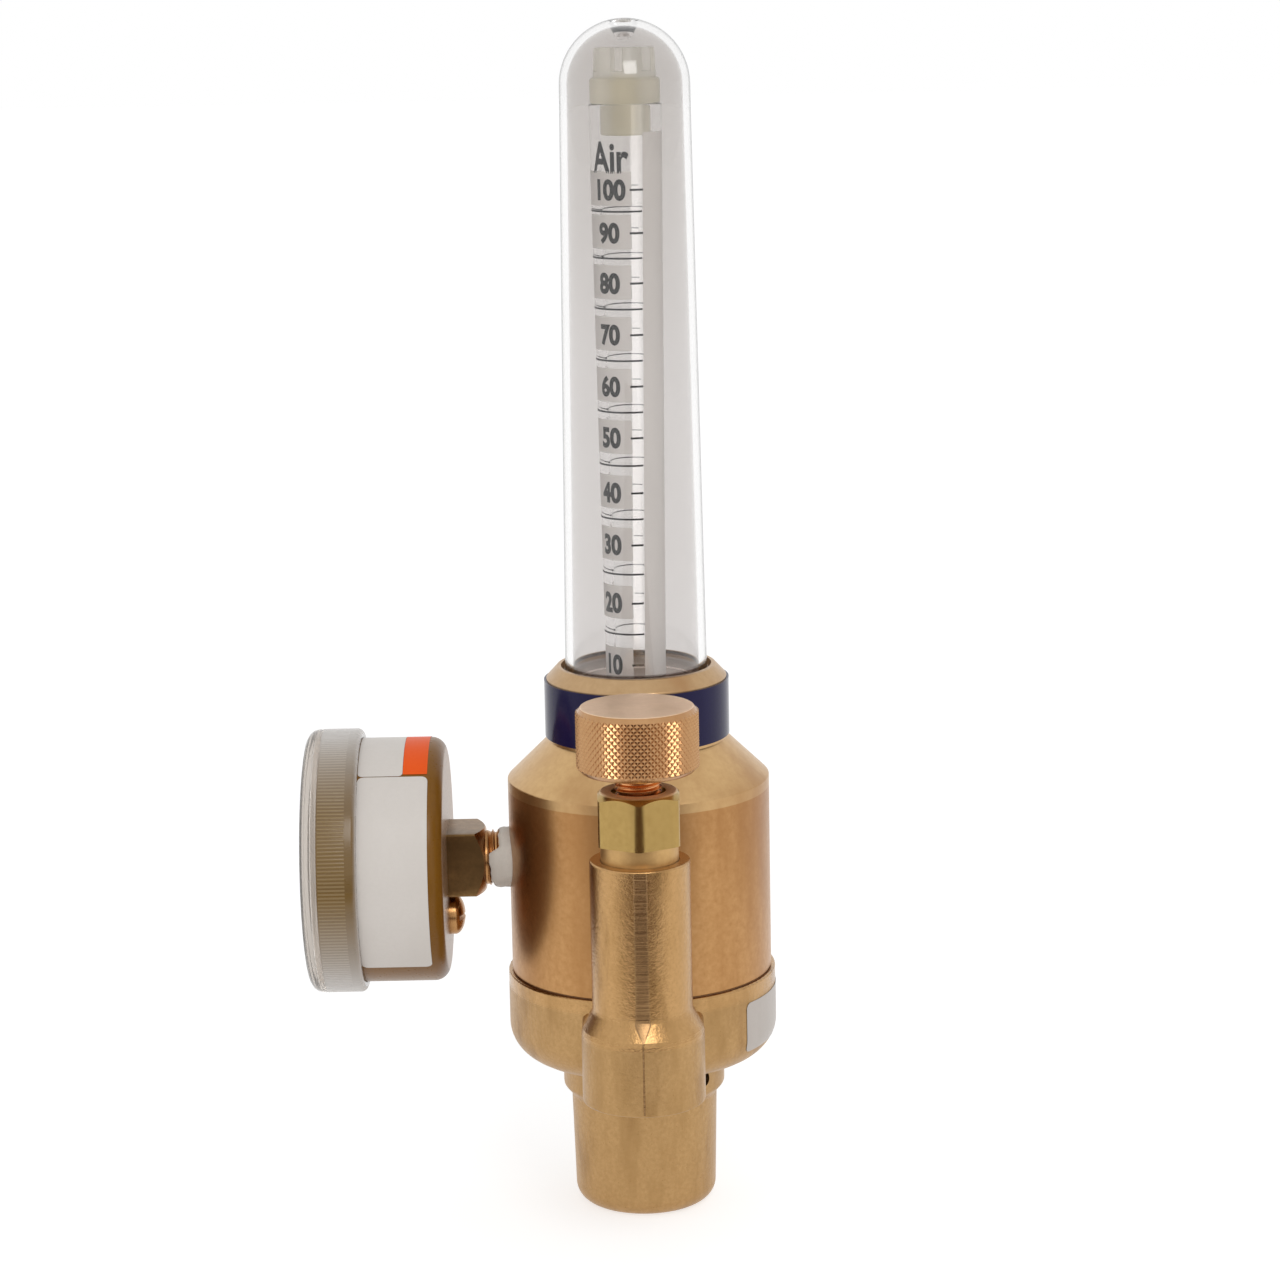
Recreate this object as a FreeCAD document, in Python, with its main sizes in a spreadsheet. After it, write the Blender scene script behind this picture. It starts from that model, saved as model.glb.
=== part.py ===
import FreeCAD, Part
import math
import os

import Sketcher

# Gas regulator with flow tube, needle valve and pressure gauge.
# Millimetres, +Z up, origin at the centre of the stem's foot.
# The needle valve is on -Y and the gauge on -X.

# Driving dimensions
SIZES = {
    # Shared: how far a cutting tool runs past a face, and the broken edge on turned parts
    "overrun": 1.0,
    "edge_break": 0.35,
    # Lower body: stem, collar and flange cup
    "stem_foot_radius": 12.4,
    "stem_foot_round": 3.2,
    "stem_radius": 12.9,
    "stem_height": 20.2,
    "collar_radius": 14.3,
    "collar_edge_height": 21.8,
    "collar_round": 1.0,
    "flange_radius": 23.6,
    "flange_bottom": 27.6,
    "flange_round": 6.0,
    "flange_top": 43.2,
    "spring_bore_radius": 10.4,
    "spring_floor": 3.0,
    "cup_radius": 19.0,
    "cup_floor": 33.0,
    "seat_radius": 23.2,
    "vent_radius": 1.3,
    "vent_height": 24.6,
    "vent_angle": 48.0,
    # Valve forging on the front of the lower body
    "valve_reach": 32.0,
    "boss_radius": 10.4,
    "boss_bottom": 29.2,
    "boss_round": 1.4,
    "shoulder_bottom": 41.7,
    "shoulder_top": 45.2,
    "shoulder_round": 1.6,
    "barrel_radius": 8.48,
    "barrel_top": 71.0,
    "barrel_bore": 6.67,
    "boss_top": 41.0,
    "outlet_radius": 7.35,
    "outlet_depth_height": 38.5,
    "orifice_radius": 1.25,
    "seat_height": 40.2,
    "seat_cone_height": 42.5,
    "stem_bore": 4.02,
    "packing_floor": 58.0,
    # Upper body
    "gasket_thickness": 0.2,
    "gasket_inner": 19.1,
    "gasket_outer": 22.7,
    "joint_height": 43.4,
    "joint_edge": 0.1,
    "spigot_radius": 18.95,
    "spigot_bottom": 35.0,
    "cylinder_radius": 22.9,
    "cylinder_top": 77.7,
    "neck_radius": 15.7,
    "neck_bottom": 84.7,
    "neck_top": 95.5,
    "rim_radius": 13.75,
    "rim_height": 97.6,
    "mouth_radius": 13.1,
    "mouth_floor": 96.2,
    "cover_bore": 12.7,
    "cover_floor": 86.0,
    "tube_socket_radius": 5.4,
    "tube_socket_floor": 81.0,
    "chamber_radius": 5.0,
    "chamber_top": 68.0,
    "nozzle_bore": 6.5,
    "nozzle_shoulder": 59.0,
    "piston_bore": 15.0,
    "piston_ceiling": 52.0,
    # Ports and passages
    "port_height": 63.2,
    "inlet_radius": 5.56,
    "inlet_floor": 12.1,
    "filter_floor": 9.5,
    "filter_seat_radius": 4.3,
    "inlet_face": 21.2,
    "inlet_face_radius": 8.4,
    "port_passage_radius": 2.2,
    "gauge_port_radius": 5.0,
    "gauge_port_floor": 13.5,
    "feed_radius": 1.25,
    "feed_foot": 13.5,
    "feed_head": 3.0,
    "return_radius": 1.0,
    "return_foot": 21.0,
    "return_head": 9.6,
    "return_cross_height": 41.6,
    # Pressure reducing valve
    "piston_radius": 14.93,
    "piston_bottom": 40.0,
    "piston_top": 51.6,
    "piston_web_bottom": 44.0,
    "piston_web_top": 49.2,
    "piston_cup_radius": 10.2,
    "piston_dish_radius": 12.5,
    "piston_post_radius": 2.5,
    "piston_post_top": 50.5,
    "groove_radius": 13.2,
    "groove_bottom": 44.6,
    "groove_top": 46.8,
    "piston_ring_height": 45.7,
    "piston_ring_wire": 0.85,
    "nozzle_radius": 6.45,
    "nozzle_bottom": 52.2,
    "nozzle_step": 58.9,
    "nozzle_hole": 1.3,
    "nozzle_top": 60.0,
    "nozzle_lip": 2.0,
    "nozzle_lip_foot": 3.0,
    "poppet_pin_radius": 0.9,
    "poppet_head_radius": 3.2,
    "poppet_head_bottom": 61.3,
    "poppet_head_top": 64.3,
    "poppet_pilot_radius": 1.4,
    "poppet_pilot_top": 66.0,
    "main_spring_radius": 8.2,
    "main_spring_wire": 1.1,
    "main_spring_pitch": 7.2,
    "poppet_spring_radius": 2.35,
    "poppet_spring_wire": 0.3,
    "poppet_spring_pitch": 1.2,
    "filter_radius": 4.25,
    "filter_thickness": 2.5,
    "body_ring_radius": 17.0,
    "body_ring_wire": 0.95,
    "body_ring_height": 34.0,
    # Flow tube, float and cover
    "cover_foot_radius": 12.62,
    "cover_foot_bottom": 87.8,
    "cover_foot_top": 94.5,
    "cover_low_radius": 12.4,
    "cover_low_height": 95.2,
    "cover_high_radius": 11.09,
    "cover_high_height": 197.3,
    "cover_wall": 1.3,
    "cover_ring_radius": 11.6,
    "cover_ring_wire": 0.85,
    "tube_bottom": 82.0,
    "tube_low_radius": 5.06,
    "tube_high_radius": 6.2,
    "tube_low_bore": 3.3,
    "tube_high_bore": 4.4,
    "tube_top": 194.2,
    "tube_seal_hole": 1.8,
    "tube_seal_radius": 5.3,
    "stop_radius": 3.2,
    "stop_hole": 1.2,
    "stop_top": 85.5,
    "float_radius": 3.0,
    "float_height": 88.6,
    "cap_plug_radius": 4.25,
    "cap_plug_bottom": 189.0,
    "cap_ring_radius": 5.95,
    "cap_ring_bottom": 194.3,
    "cap_ring_top": 198.3,
    "cap_block_radius": 5.3,
    "cap_block_top": 203.5,
    "cap_hole": 2.4,
    "cap_slot_width": 2.0,
    "cap_slot_floor": 199.6,
    "band_inner": 15.73,
    "band_outer": 16.1,
    "band_bottom": 85.3,
    "band_top": 95.2,
    # Needle valve
    "needle_bottom": 38.9,
    "needle_tip_radius": 0.45,
    "needle_radius": 2.2,
    "needle_shoulder": 43.0,
    "needle_top": 47.4,
    "valve_stem_radius": 3.95,
    "valve_stem_bottom": 44.0,
    "valve_stem_top": 94.4,
    "valve_socket_radius": 2.25,
    "valve_socket_top": 47.6,
    "washer_hole": 4.06,
    "washer_radius": 6.6,
    "washer_top": 58.8,
    "packing_top": 62.0,
    "nut_collar_radius": 6.55,
    "nut_bottom": 74.0,
    "nut_edge": 81.6,
    "nut_top": 82.9,
    "nut_across_flats": 13.6,
    "nut_corner_radius": 7.9,
    "nut_face_radius": 6.3,
    "nut_recess_radius": 4.6,
    "nut_recess_floor": 81.5,
    "knob_radius": 10.3,
    "knob_bottom": 86.2,
    "knob_top": 97.2,
    "knob_edge": 0.9,
    "knob_bore": 3.98,
    "knob_bore_top": 94.5,
    # Pressure gauge, measured out from the body's axis
    "gauge_thread_start": 14.5,
    "gauge_thread_tip": 4.7,
    "gauge_thread_radius": 4.95,
    "gauge_neck": 27.0,
    "square_size": 11.3,
    "square_start": 28.0,
    "square_corner": 8.2,
    "square_face": 6.3,
    "square_face_end": 28.6,
    "case_back": 33.7,
    "case_radius": 21.4,
    "case_wall": 0.8,
    "case_round": 2.6,
    "case_front": 55.2,
    "socket_hole": 4.5,
    "socket_spigot_radius": 4.4,
    "socket_spigot_length": 1.6,
    "socket_bore": 1.5,
    "socket_cross_radius": 0.6,
    "socket_cross_level": 37.0,
    "block_front": 44.0,
    "block_depth": 17.0,
    "block_rise": 5.0,
    "block_half_width": 4.5,
    "lens_radius": 23.15,
    "lens_bore": 21.5,
    "lens_start": 48.3,
    "lens_inside": 56.2,
    "lens_front": 58.0,
    "lens_round": 1.5,
    "lens_lip_round": 0.9,
    "dial_radius": 20.4,
    "dial_back": 52.4,
    "dial_front": 52.9,
    "dial_hole": 1.2,
    "pointer_back": 53.7,
    "pointer_front": 54.1,
    "pointer_hub": 2.3,
    "pointer_length": 15.6,
    "pointer_tail": 5.2,
    "pointer_root": 0.9,
    "pointer_tip": 0.2,
    "pointer_rest_angle": 135.0,
    "tape_inner": 4.98,
    "tape_outer": 5.35,
    "tape_start": 22.95,
    "tape_end": 26.2,
    "screw_offset": 10.3,
    "screw_head_radius": 3.5,
    "screw_head_height": 2.7,
    "screw_radius": 1.4,
    "screw_end": 41.0,
    "screw_hole": 1.5,
    "screw_slot": 0.9,
    # Gauge movement
    "coil_radius": 15.0,
    "coil_half_height": 2.2,
    "coil_half_width": 0.8,
    "coil_level": 39.4,
    "coil_tip_angle": -130.0,
    "coil_sweep": 291.0,
    "coil_post_radius": 0.7,
    "plate_thickness": 0.8,
    "front_plate_back": 49.0,
    "plate_low": 14.6,
    "plate_high": 4.2,
    "plate_half_width": 5.0,
    "pillar_radius": 0.8,
    "pillar_low": 13.6,
    "pillar_high": 3.2,
    "pillar_side": 4.0,
    "arbor_radius": 0.6,
    "arbor_hole": 0.66,
    "arbor_back": 44.1,
    "arbor_front": 54.6,
    "gear_back": 46.0,
    "gear_thickness": 1.2,
    "pinion_back": 45.5,
    "pinion_root": 0.8,
    "pinion_tip": 1.42,
    "pinion_length": 2.2,
    "sector_reach": 9.6,
    "sector_root": 7.95,
    "sector_tip": 8.62,
    "sector_hub": 1.8,
    "sector_edge_out": 6.484,
    "sector_edge_side": 4.6,
    "sector_tail": 3.5,
    "sector_tail_width": 0.9,
    "sector_pin_reach": 2.6,
    "tooth_root_half": 0.22,
    "tooth_tip_half": 0.07,
    "tooth_sink": 0.1,
    "link_back": 47.4,
    "link_thickness": 0.5,
    "link_eye": 0.95,
    "link_pin": 0.4,
    "link_hole": 0.45,
    "link_gap": 0.1,
}
PINION_TEETH = 8
SECTOR_WHEEL_TEETH = 56
SECTOR_TEETH = 11
SECTOR_REST_TEETH = 3

Vector = FreeCAD.Vector
Rotation = FreeCAD.Rotation
Placement = FreeCAD.Placement
UP = Vector(0, 0, 1)
RIGHT = Vector(1, 0, 0)
BACK = Vector(0, 1, 0)

doc = FreeCAD.newDocument("FlowRegulator")
sheet = doc.addObject("Spreadsheet::Sheet", "Dims")
for row, (alias, number) in enumerate(SIZES.items(), start=1):
    sheet.set(f"A{row}", alias)
    sheet.set(f"B{row}", str(number))
    sheet.setAlias(f"B{row}", alias)
doc.recompute()

nodes = {}


# Sheet helpers: a formula is aliases and numbers joined by + and -
def value_of(formula):
    total = 0.0
    sign = 1.0
    for word in formula.split():
        if word in ("+", "-"):
            sign = 1.0 if word == "+" else -1.0
        else:
            total += sign * (SIZES[word] if word in SIZES else float(word))
    return total


def bound(formula):
    return " ".join("Dims." + word if word in SIZES else word for word in formula.split())


def opposite(formula):
    swap = {"+": "-", "-": "+"}
    return "0 - " + " ".join(swap.get(word, word) for word in formula.split())


def bind(thing, **formulas):
    for name, formula in formulas.items():
        thing.setExpression(name, bound(formula))


def bind_place(thing, x=None, y=None, z=None):
    for axis, formula in (("x", x), ("y", y), ("z", z)):
        if formula:
            thing.setExpression(f"Placement.Base.{axis}", bound(formula))


def keep(node, thing):
    thing.Label = node
    nodes[node] = thing
    return thing


# Sketch helpers
def origin_feature(body, role):
    return next(item for item in body.Origin.OriginFeatures if item.Role == role)


def pin_point(sketch, line, direction, formula):
    axis = {"DistanceX": -2, "DistanceY": -1}[direction]
    number = value_of(formula)
    if abs(number) < 1e-9:
        sketch.addConstraint(Sketcher.Constraint("PointOnObject", line, 1, axis))
        return
    index = sketch.addConstraint(Sketcher.Constraint(direction, -1, 1, line, 1, number))
    sketch.setExpression(f"Constraints[{index}]", bound(formula))


def outline(body, name, points, role="XZ_Plane", lift=None):
    # A third item "arc" makes the edge that leaves a point an arc about the sketch's origin
    sketch = body.newObject("Sketcher::SketchObject", name)
    sketch.AttachmentSupport = (origin_feature(body, role), "")
    sketch.MapMode = "FlatFace"
    if lift:
        sketch.setExpression("AttachmentOffset.Base.z", bound(lift))
    corners = [Vector(value_of(point[0]), value_of(point[1]), 0) for point in points]
    arcs = [len(point) == 3 for point in points]
    count = len(corners)
    for index, corner in enumerate(corners):
        following = corners[(index + 1) % count]
        if arcs[index]:
            circle = Part.Circle(Vector(), UP, corner.Length)
            angles = [math.atan2(point.y, point.x) for point in (corner, following)]
            sketch.addGeometry(Part.ArcOfCircle(circle, *angles))
            sketch.addConstraint(Sketcher.Constraint("Coincident", index, 3, -1, 1))
        else:
            sketch.addGeometry(Part.LineSegment(corner, following))
    for index in range(count):
        following = (index + 1) % count
        sketch.addConstraint(Sketcher.Constraint("Coincident", index, 2, following, 1))
    for index, point in enumerate(points):
        if not arcs[index - 1]:
            pin_point(sketch, index, "DistanceX", point[0])
        pin_point(sketch, index, "DistanceY", point[1])
    return sketch


def new_body(name):
    return doc.addObject("PartDesign::Body", name)


def turned(name, points):
    body = new_body(name)
    sketch = outline(body, name + "_outline", points)
    revolution = body.newObject("PartDesign::Revolution", name + "_turning")
    revolution.Profile = sketch
    revolution.ReferenceAxis = (sketch, ["V_Axis"])
    revolution.Angle = 360
    sketch.Visibility = False
    return body


def padded(name, points, start, thickness):
    body = new_body(name)
    sketch = outline(body, name + "_outline", points, "XY_Plane", start)
    pad = body.newObject("PartDesign::Pad", name + "_pad")
    pad.Profile = sketch
    bind(pad, Length=thickness)
    return body


def add_fillet(body, name, radius, chosen):
    # chosen says which edges of the body so far are rounded
    doc.recompute()
    base = body.Tip
    names = [f"Edge{index}" for index, edge in enumerate(base.Shape.Edges, start=1) if chosen(edge)]
    fillet = body.newObject("PartDesign::Fillet", name)
    fillet.Base = (base, names)
    bind(fillet, Radius=radius)


def lies_flat_at(edge, height):
    return edge.BoundBox.ZLength < 1e-6 and abs(edge.BoundBox.ZMin - height) < 1e-6


def round_rings(body, name, radius, rings):
    # rings are circles about the body's axis, each given by radius and height
    wanted = [(value_of(across), value_of(along)) for across, along in rings]

    def chosen(edge):
        return edge.Curve.TypeId == "Part::GeomCircle" and any(
            lies_flat_at(edge, along) and abs(edge.BoundBox.XMax - across) < 1e-4
            for across, along in wanted)

    add_fillet(body, name, radius, chosen)


# Primitive helpers
def cylinder(name, radius, height, place=None):
    rod = doc.addObject("Part::Cylinder", name)
    bind(rod, Radius=radius, Height=height)
    rod.Placement = place or Placement()
    return rod


def torus(name, radius, wire):
    ring = doc.addObject("Part::Torus", name)
    bind(ring, Radius1=radius, Radius2=wire)
    return ring


def box(name, length, width, height):
    block = doc.addObject("Part::Box", name)
    bind(block, Length=length, Width=width, Height=height)
    return block


def fuse(name, pieces):
    joined = doc.addObject("Part::MultiFuse", name)
    joined.Shapes = pieces
    joined.Refine = True
    return joined


def cut(name, base, tools):
    result = doc.addObject("Part::Cut", name)
    result.Base = base
    result.Tool = tools[0] if len(tools) == 1 else fuse(name + "_tools", tools)
    return result


def common(name, base, tool):
    result = doc.addObject("Part::Common", name)
    result.Base = base
    result.Tool = tool
    return result


def spring(name, radius, wire, pitch, bottom, top):
    coil = doc.addObject("Part::Helix", name + "_helix")
    bind(coil, Radius=radius, Pitch=pitch, Height=f"{top} - {bottom} - {wire} - {wire}")
    bind_place(coil, z=f"{bottom} + {wire}")
    section = doc.addObject("Part::Circle", name + "_section")
    bind(section, Radius=wire)
    section.Placement = Placement(Vector(), Rotation(RIGHT, 90))
    bind_place(section, x=radius, z=f"{bottom} + {wire}")
    sweep = doc.addObject("Part::Sweep", name + "_sweep")
    sweep.Sections = [section]
    sweep.Spine = (coil, ["Edge1"])
    sweep.Solid = True
    sweep.Frenet = True
    return sweep


# Lower body
def lower_body():
    turning = turned("lower_turning", [
        ("0", "0"),
        ("stem_foot_radius", "0"),
        ("stem_radius", "stem_height"),
        ("collar_radius", "collar_edge_height"),
        ("collar_radius", "flange_bottom"),
        ("flange_radius", "flange_bottom"),
        ("flange_radius", "flange_top"),
        ("0", "flange_top"),
    ])
    round_rings(turning, "stem_foot_fillet", "stem_foot_round", [("stem_foot_radius", "0")])
    round_rings(turning, "collar_fillet", "collar_round",
                [("stem_radius", "stem_height"), ("collar_radius", "collar_edge_height")])
    round_rings(turning, "flange_fillet", "flange_round", [("flange_radius", "flange_bottom")])
    round_rings(turning, "flange_edge", "edge_break", [("flange_radius", "flange_top")])
    valve = turned("valve_turning", [
        ("0", "boss_bottom"),
        ("boss_radius", "boss_bottom"),
        ("boss_radius", "shoulder_bottom"),
        ("barrel_radius", "shoulder_top"),
        ("barrel_radius", "barrel_top"),
        ("0", "barrel_top"),
    ])
    round_rings(valve, "shoulder_fillet", "shoulder_round",
                [("boss_radius", "shoulder_bottom"), ("barrel_radius", "shoulder_top")])
    round_rings(valve, "valve_edges", "edge_break",
                [("boss_radius", "boss_bottom"), ("barrel_radius", "barrel_top")])
    bind_place(valve, y="0 - valve_reach")
    seat = cylinder("body_seat", "seat_radius", "barrel_top - flange_top")
    bind_place(seat, z="flange_top")
    relieved = cut("valve_relieved", valve, [seat])
    boss = padded("valve_boss", [
        ("0 - boss_radius", "0", "arc"),
        ("boss_radius", "0"),
        ("boss_radius", "valve_reach - cup_radius"),
        ("0 - boss_radius", "valve_reach - cup_radius"),
    ], "boss_bottom", "boss_top - boss_bottom")
    back = value_of("valve_reach - cup_radius")
    for side, radius in (("bottom", "edge_break"), ("top", "boss_round")):
        height = value_of(f"boss_{side}")
        add_fillet(boss, f"boss_{side}_fillet", radius, lambda edge, height=height:
                   lies_flat_at(edge, height) and edge.BoundBox.YMin < back - 1e-4)
    bind_place(boss, y="0 - valve_reach")
    cavity = turned("spring_cavity", [
        ("0", "spring_floor"),
        ("spring_bore_radius", "spring_floor"),
        ("spring_bore_radius", "cup_floor"),
        ("cup_radius", "cup_floor"),
        ("cup_radius", "flange_top + overrun"),
        ("0", "flange_top + overrun"),
    ])
    bores = turned("valve_bores", [
        ("0", "boss_bottom - overrun"),
        ("outlet_radius", "boss_bottom - overrun"),
        ("outlet_radius", "outlet_depth_height"),
        ("orifice_radius", "outlet_depth_height"),
        ("orifice_radius", "seat_height"),
        ("stem_bore", "seat_cone_height"),
        ("stem_bore", "packing_floor"),
        ("barrel_bore", "packing_floor"),
        ("barrel_bore", "barrel_top + overrun"),
        ("0", "barrel_top + overrun"),
    ])
    bind_place(bores, y="0 - valve_reach")
    vent = cylinder("vent_hole", "vent_radius", "collar_radius + overrun")
    vent.Placement = Placement(Vector(), Rotation(UP, SIZES["vent_angle"]) * Rotation(RIGHT, 90))
    bind_place(vent, z="vent_height")
    drop = cylinder("return_drop", "return_radius", "flange_top - return_cross_height + overrun")
    bind_place(drop, y="0 - return_foot", z="return_cross_height")
    cross = cylinder("return_cross", "return_radius", "valve_reach - return_foot + return_radius",
                     Placement(Vector(), Rotation(RIGHT, 90)))
    bind_place(cross, y="return_radius - return_foot", z="return_cross_height")
    forging = fuse("forging", [turning, relieved, boss])
    keep("lower_body", cut("lower_body", forging, [cavity, bores, vent, drop, cross]))


# Upper body with ports and passages
def upper_body():
    turning = turned("upper_turning", [
        ("spigot_radius", "spigot_bottom"),
        ("spigot_radius", "joint_height"),
        ("cylinder_radius", "joint_height"),
        ("cylinder_radius", "cylinder_top"),
        ("neck_radius", "neck_bottom"),
        ("neck_radius", "neck_top"),
        ("rim_radius", "rim_height"),
        ("mouth_radius", "rim_height"),
        ("cover_bore", "mouth_floor"),
        ("cover_bore", "cover_floor"),
        ("tube_socket_radius", "cover_floor"),
        ("tube_socket_radius", "tube_socket_floor"),
        ("0", "tube_socket_floor"),
        ("0", "chamber_top"),
        ("chamber_radius", "chamber_top"),
        ("chamber_radius", "nozzle_shoulder"),
        ("nozzle_bore", "nozzle_shoulder"),
        ("nozzle_bore", "piston_ceiling"),
        ("piston_bore", "piston_ceiling"),
        ("piston_bore", "spigot_bottom"),
    ])
    round_rings(turning, "joint_break", "joint_edge", [("cylinder_radius", "joint_height")])
    round_rings(turning, "body_edges", "edge_break", [
        ("cylinder_radius", "cylinder_top"),
        ("neck_radius", "neck_top"),
        ("rim_radius", "rim_height"),
    ])
    to_back = Placement(Vector(), Rotation(RIGHT, -90))
    to_left = Placement(Vector(), Rotation(BACK, -90))
    inlet = cylinder("inlet_port", "inlet_radius", "cylinder_radius", to_back)
    bind_place(inlet, y="inlet_floor", z="port_height")
    face = cylinder("inlet_spot_face", "inlet_face_radius", "cylinder_radius", to_back)
    bind_place(face, y="inlet_face", z="port_height")
    filter_seat = cylinder("filter_seat", "filter_seat_radius", "inlet_floor - filter_floor + overrun",
                           to_back)
    bind_place(filter_seat, y="filter_floor", z="port_height")
    inlet_passage = cylinder("inlet_passage", "port_passage_radius", "inlet_floor + overrun", to_back)
    bind_place(inlet_passage, z="port_height")
    port = cylinder("gauge_port", "gauge_port_radius", "cylinder_radius", to_left)
    bind_place(port, x="0 - gauge_port_floor", z="port_height")
    port_passage = cylinder("gauge_passage", "port_passage_radius", "gauge_port_floor + overrun", to_left)
    bind_place(port_passage, z="port_height")
    feed = slanted("tube_feed", "feed_radius", RIGHT, ("feed_foot", "piston_ceiling"),
                   ("feed_head", "tube_socket_floor"))
    back = slanted("tube_return", "return_radius", -BACK, ("return_foot", "joint_height"),
                   ("return_head", "cover_floor"))
    tools = [inlet, face, filter_seat, inlet_passage, port, port_passage, feed, back]
    keep("upper_body", cut("upper_body", turning, tools))


def slanted(name, radius, side, foot, head):
    # A drilled hole from foot to head, each given as distance out from the axis and height,
    # run on past both ends by its own radius
    start, end = (side * value_of(out) + UP * value_of(height) for out, height in (foot, head))
    direction = (end - start).normalize()
    hole = doc.addObject("Part::Cylinder", name)
    bind(hole, Radius=radius)
    hole.Height = (end - start).Length + 2 * value_of(radius)
    hole.Placement = Placement(start - direction * value_of(radius), Rotation(UP, direction))
    return hole


# Seals and gasket between the bodies
def body_seals():
    gasket = turned("gasket_ring", [
        ("gasket_inner", "flange_top"),
        ("gasket_outer", "flange_top"),
        ("gasket_outer", "joint_height"),
        ("gasket_inner", "joint_height"),
    ])
    hole = cylinder("gasket_hole", "return_radius", "gasket_thickness + overrun + overrun")
    bind_place(hole, y="0 - return_foot", z="flange_top - overrun")
    keep("joint_gasket", cut("joint_gasket", gasket, [hole]))
    ring = keep("body_o_ring", torus("body_o_ring", "body_ring_radius", "body_ring_wire"))
    bind_place(ring, z="body_ring_height")


# Piston, nozzle and poppet that reduce the pressure
def pressure_reducer():
    keep("piston", turned("piston", [
        ("0", "piston_web_bottom"),
        ("piston_cup_radius", "piston_web_bottom"),
        ("piston_cup_radius", "piston_bottom"),
        ("piston_radius", "piston_bottom"),
        ("piston_radius", "groove_bottom"),
        ("groove_radius", "groove_bottom"),
        ("groove_radius", "groove_top"),
        ("piston_radius", "groove_top"),
        ("piston_radius", "piston_top"),
        ("piston_dish_radius", "piston_top"),
        ("piston_dish_radius", "piston_web_top"),
        ("piston_post_radius", "piston_web_top"),
        ("piston_post_radius", "piston_post_top"),
        ("0", "piston_post_top"),
    ]))
    ring = keep("piston_o_ring", torus("piston_o_ring", "piston_radius - piston_ring_wire",
                                       "piston_ring_wire"))
    bind_place(ring, z="piston_ring_height")
    keep("seat_nozzle", turned("seat_nozzle", [
        ("nozzle_hole", "nozzle_bottom"),
        ("nozzle_radius", "nozzle_bottom"),
        ("nozzle_radius", "nozzle_step"),
        ("nozzle_lip_foot", "nozzle_step"),
        ("nozzle_lip", "nozzle_top"),
        ("nozzle_hole", "nozzle_top"),
    ]))
    keep("poppet", turned("poppet", [
        ("0", "piston_post_top"),
        ("poppet_pin_radius", "piston_post_top"),
        ("poppet_pin_radius", "poppet_head_bottom"),
        ("poppet_head_radius", "poppet_head_bottom"),
        ("poppet_head_radius", "poppet_head_top"),
        ("poppet_pilot_radius", "poppet_head_top"),
        ("poppet_pilot_radius", "poppet_pilot_top"),
        ("0", "poppet_pilot_top"),
    ]))
    keep("main_spring", spring("main_spring", "main_spring_radius", "main_spring_wire",
                               "main_spring_pitch", "spring_floor", "piston_web_bottom"))
    keep("poppet_spring", spring("poppet_spring", "poppet_spring_radius", "poppet_spring_wire",
                                 "poppet_spring_pitch", "poppet_head_top", "chamber_top"))
    disc = cylinder("inlet_filter", "filter_radius", "filter_thickness",
                    Placement(Vector(), Rotation(RIGHT, -90)))
    bind_place(disc, y="filter_floor", z="port_height")
    keep("inlet_filter", disc)


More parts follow.
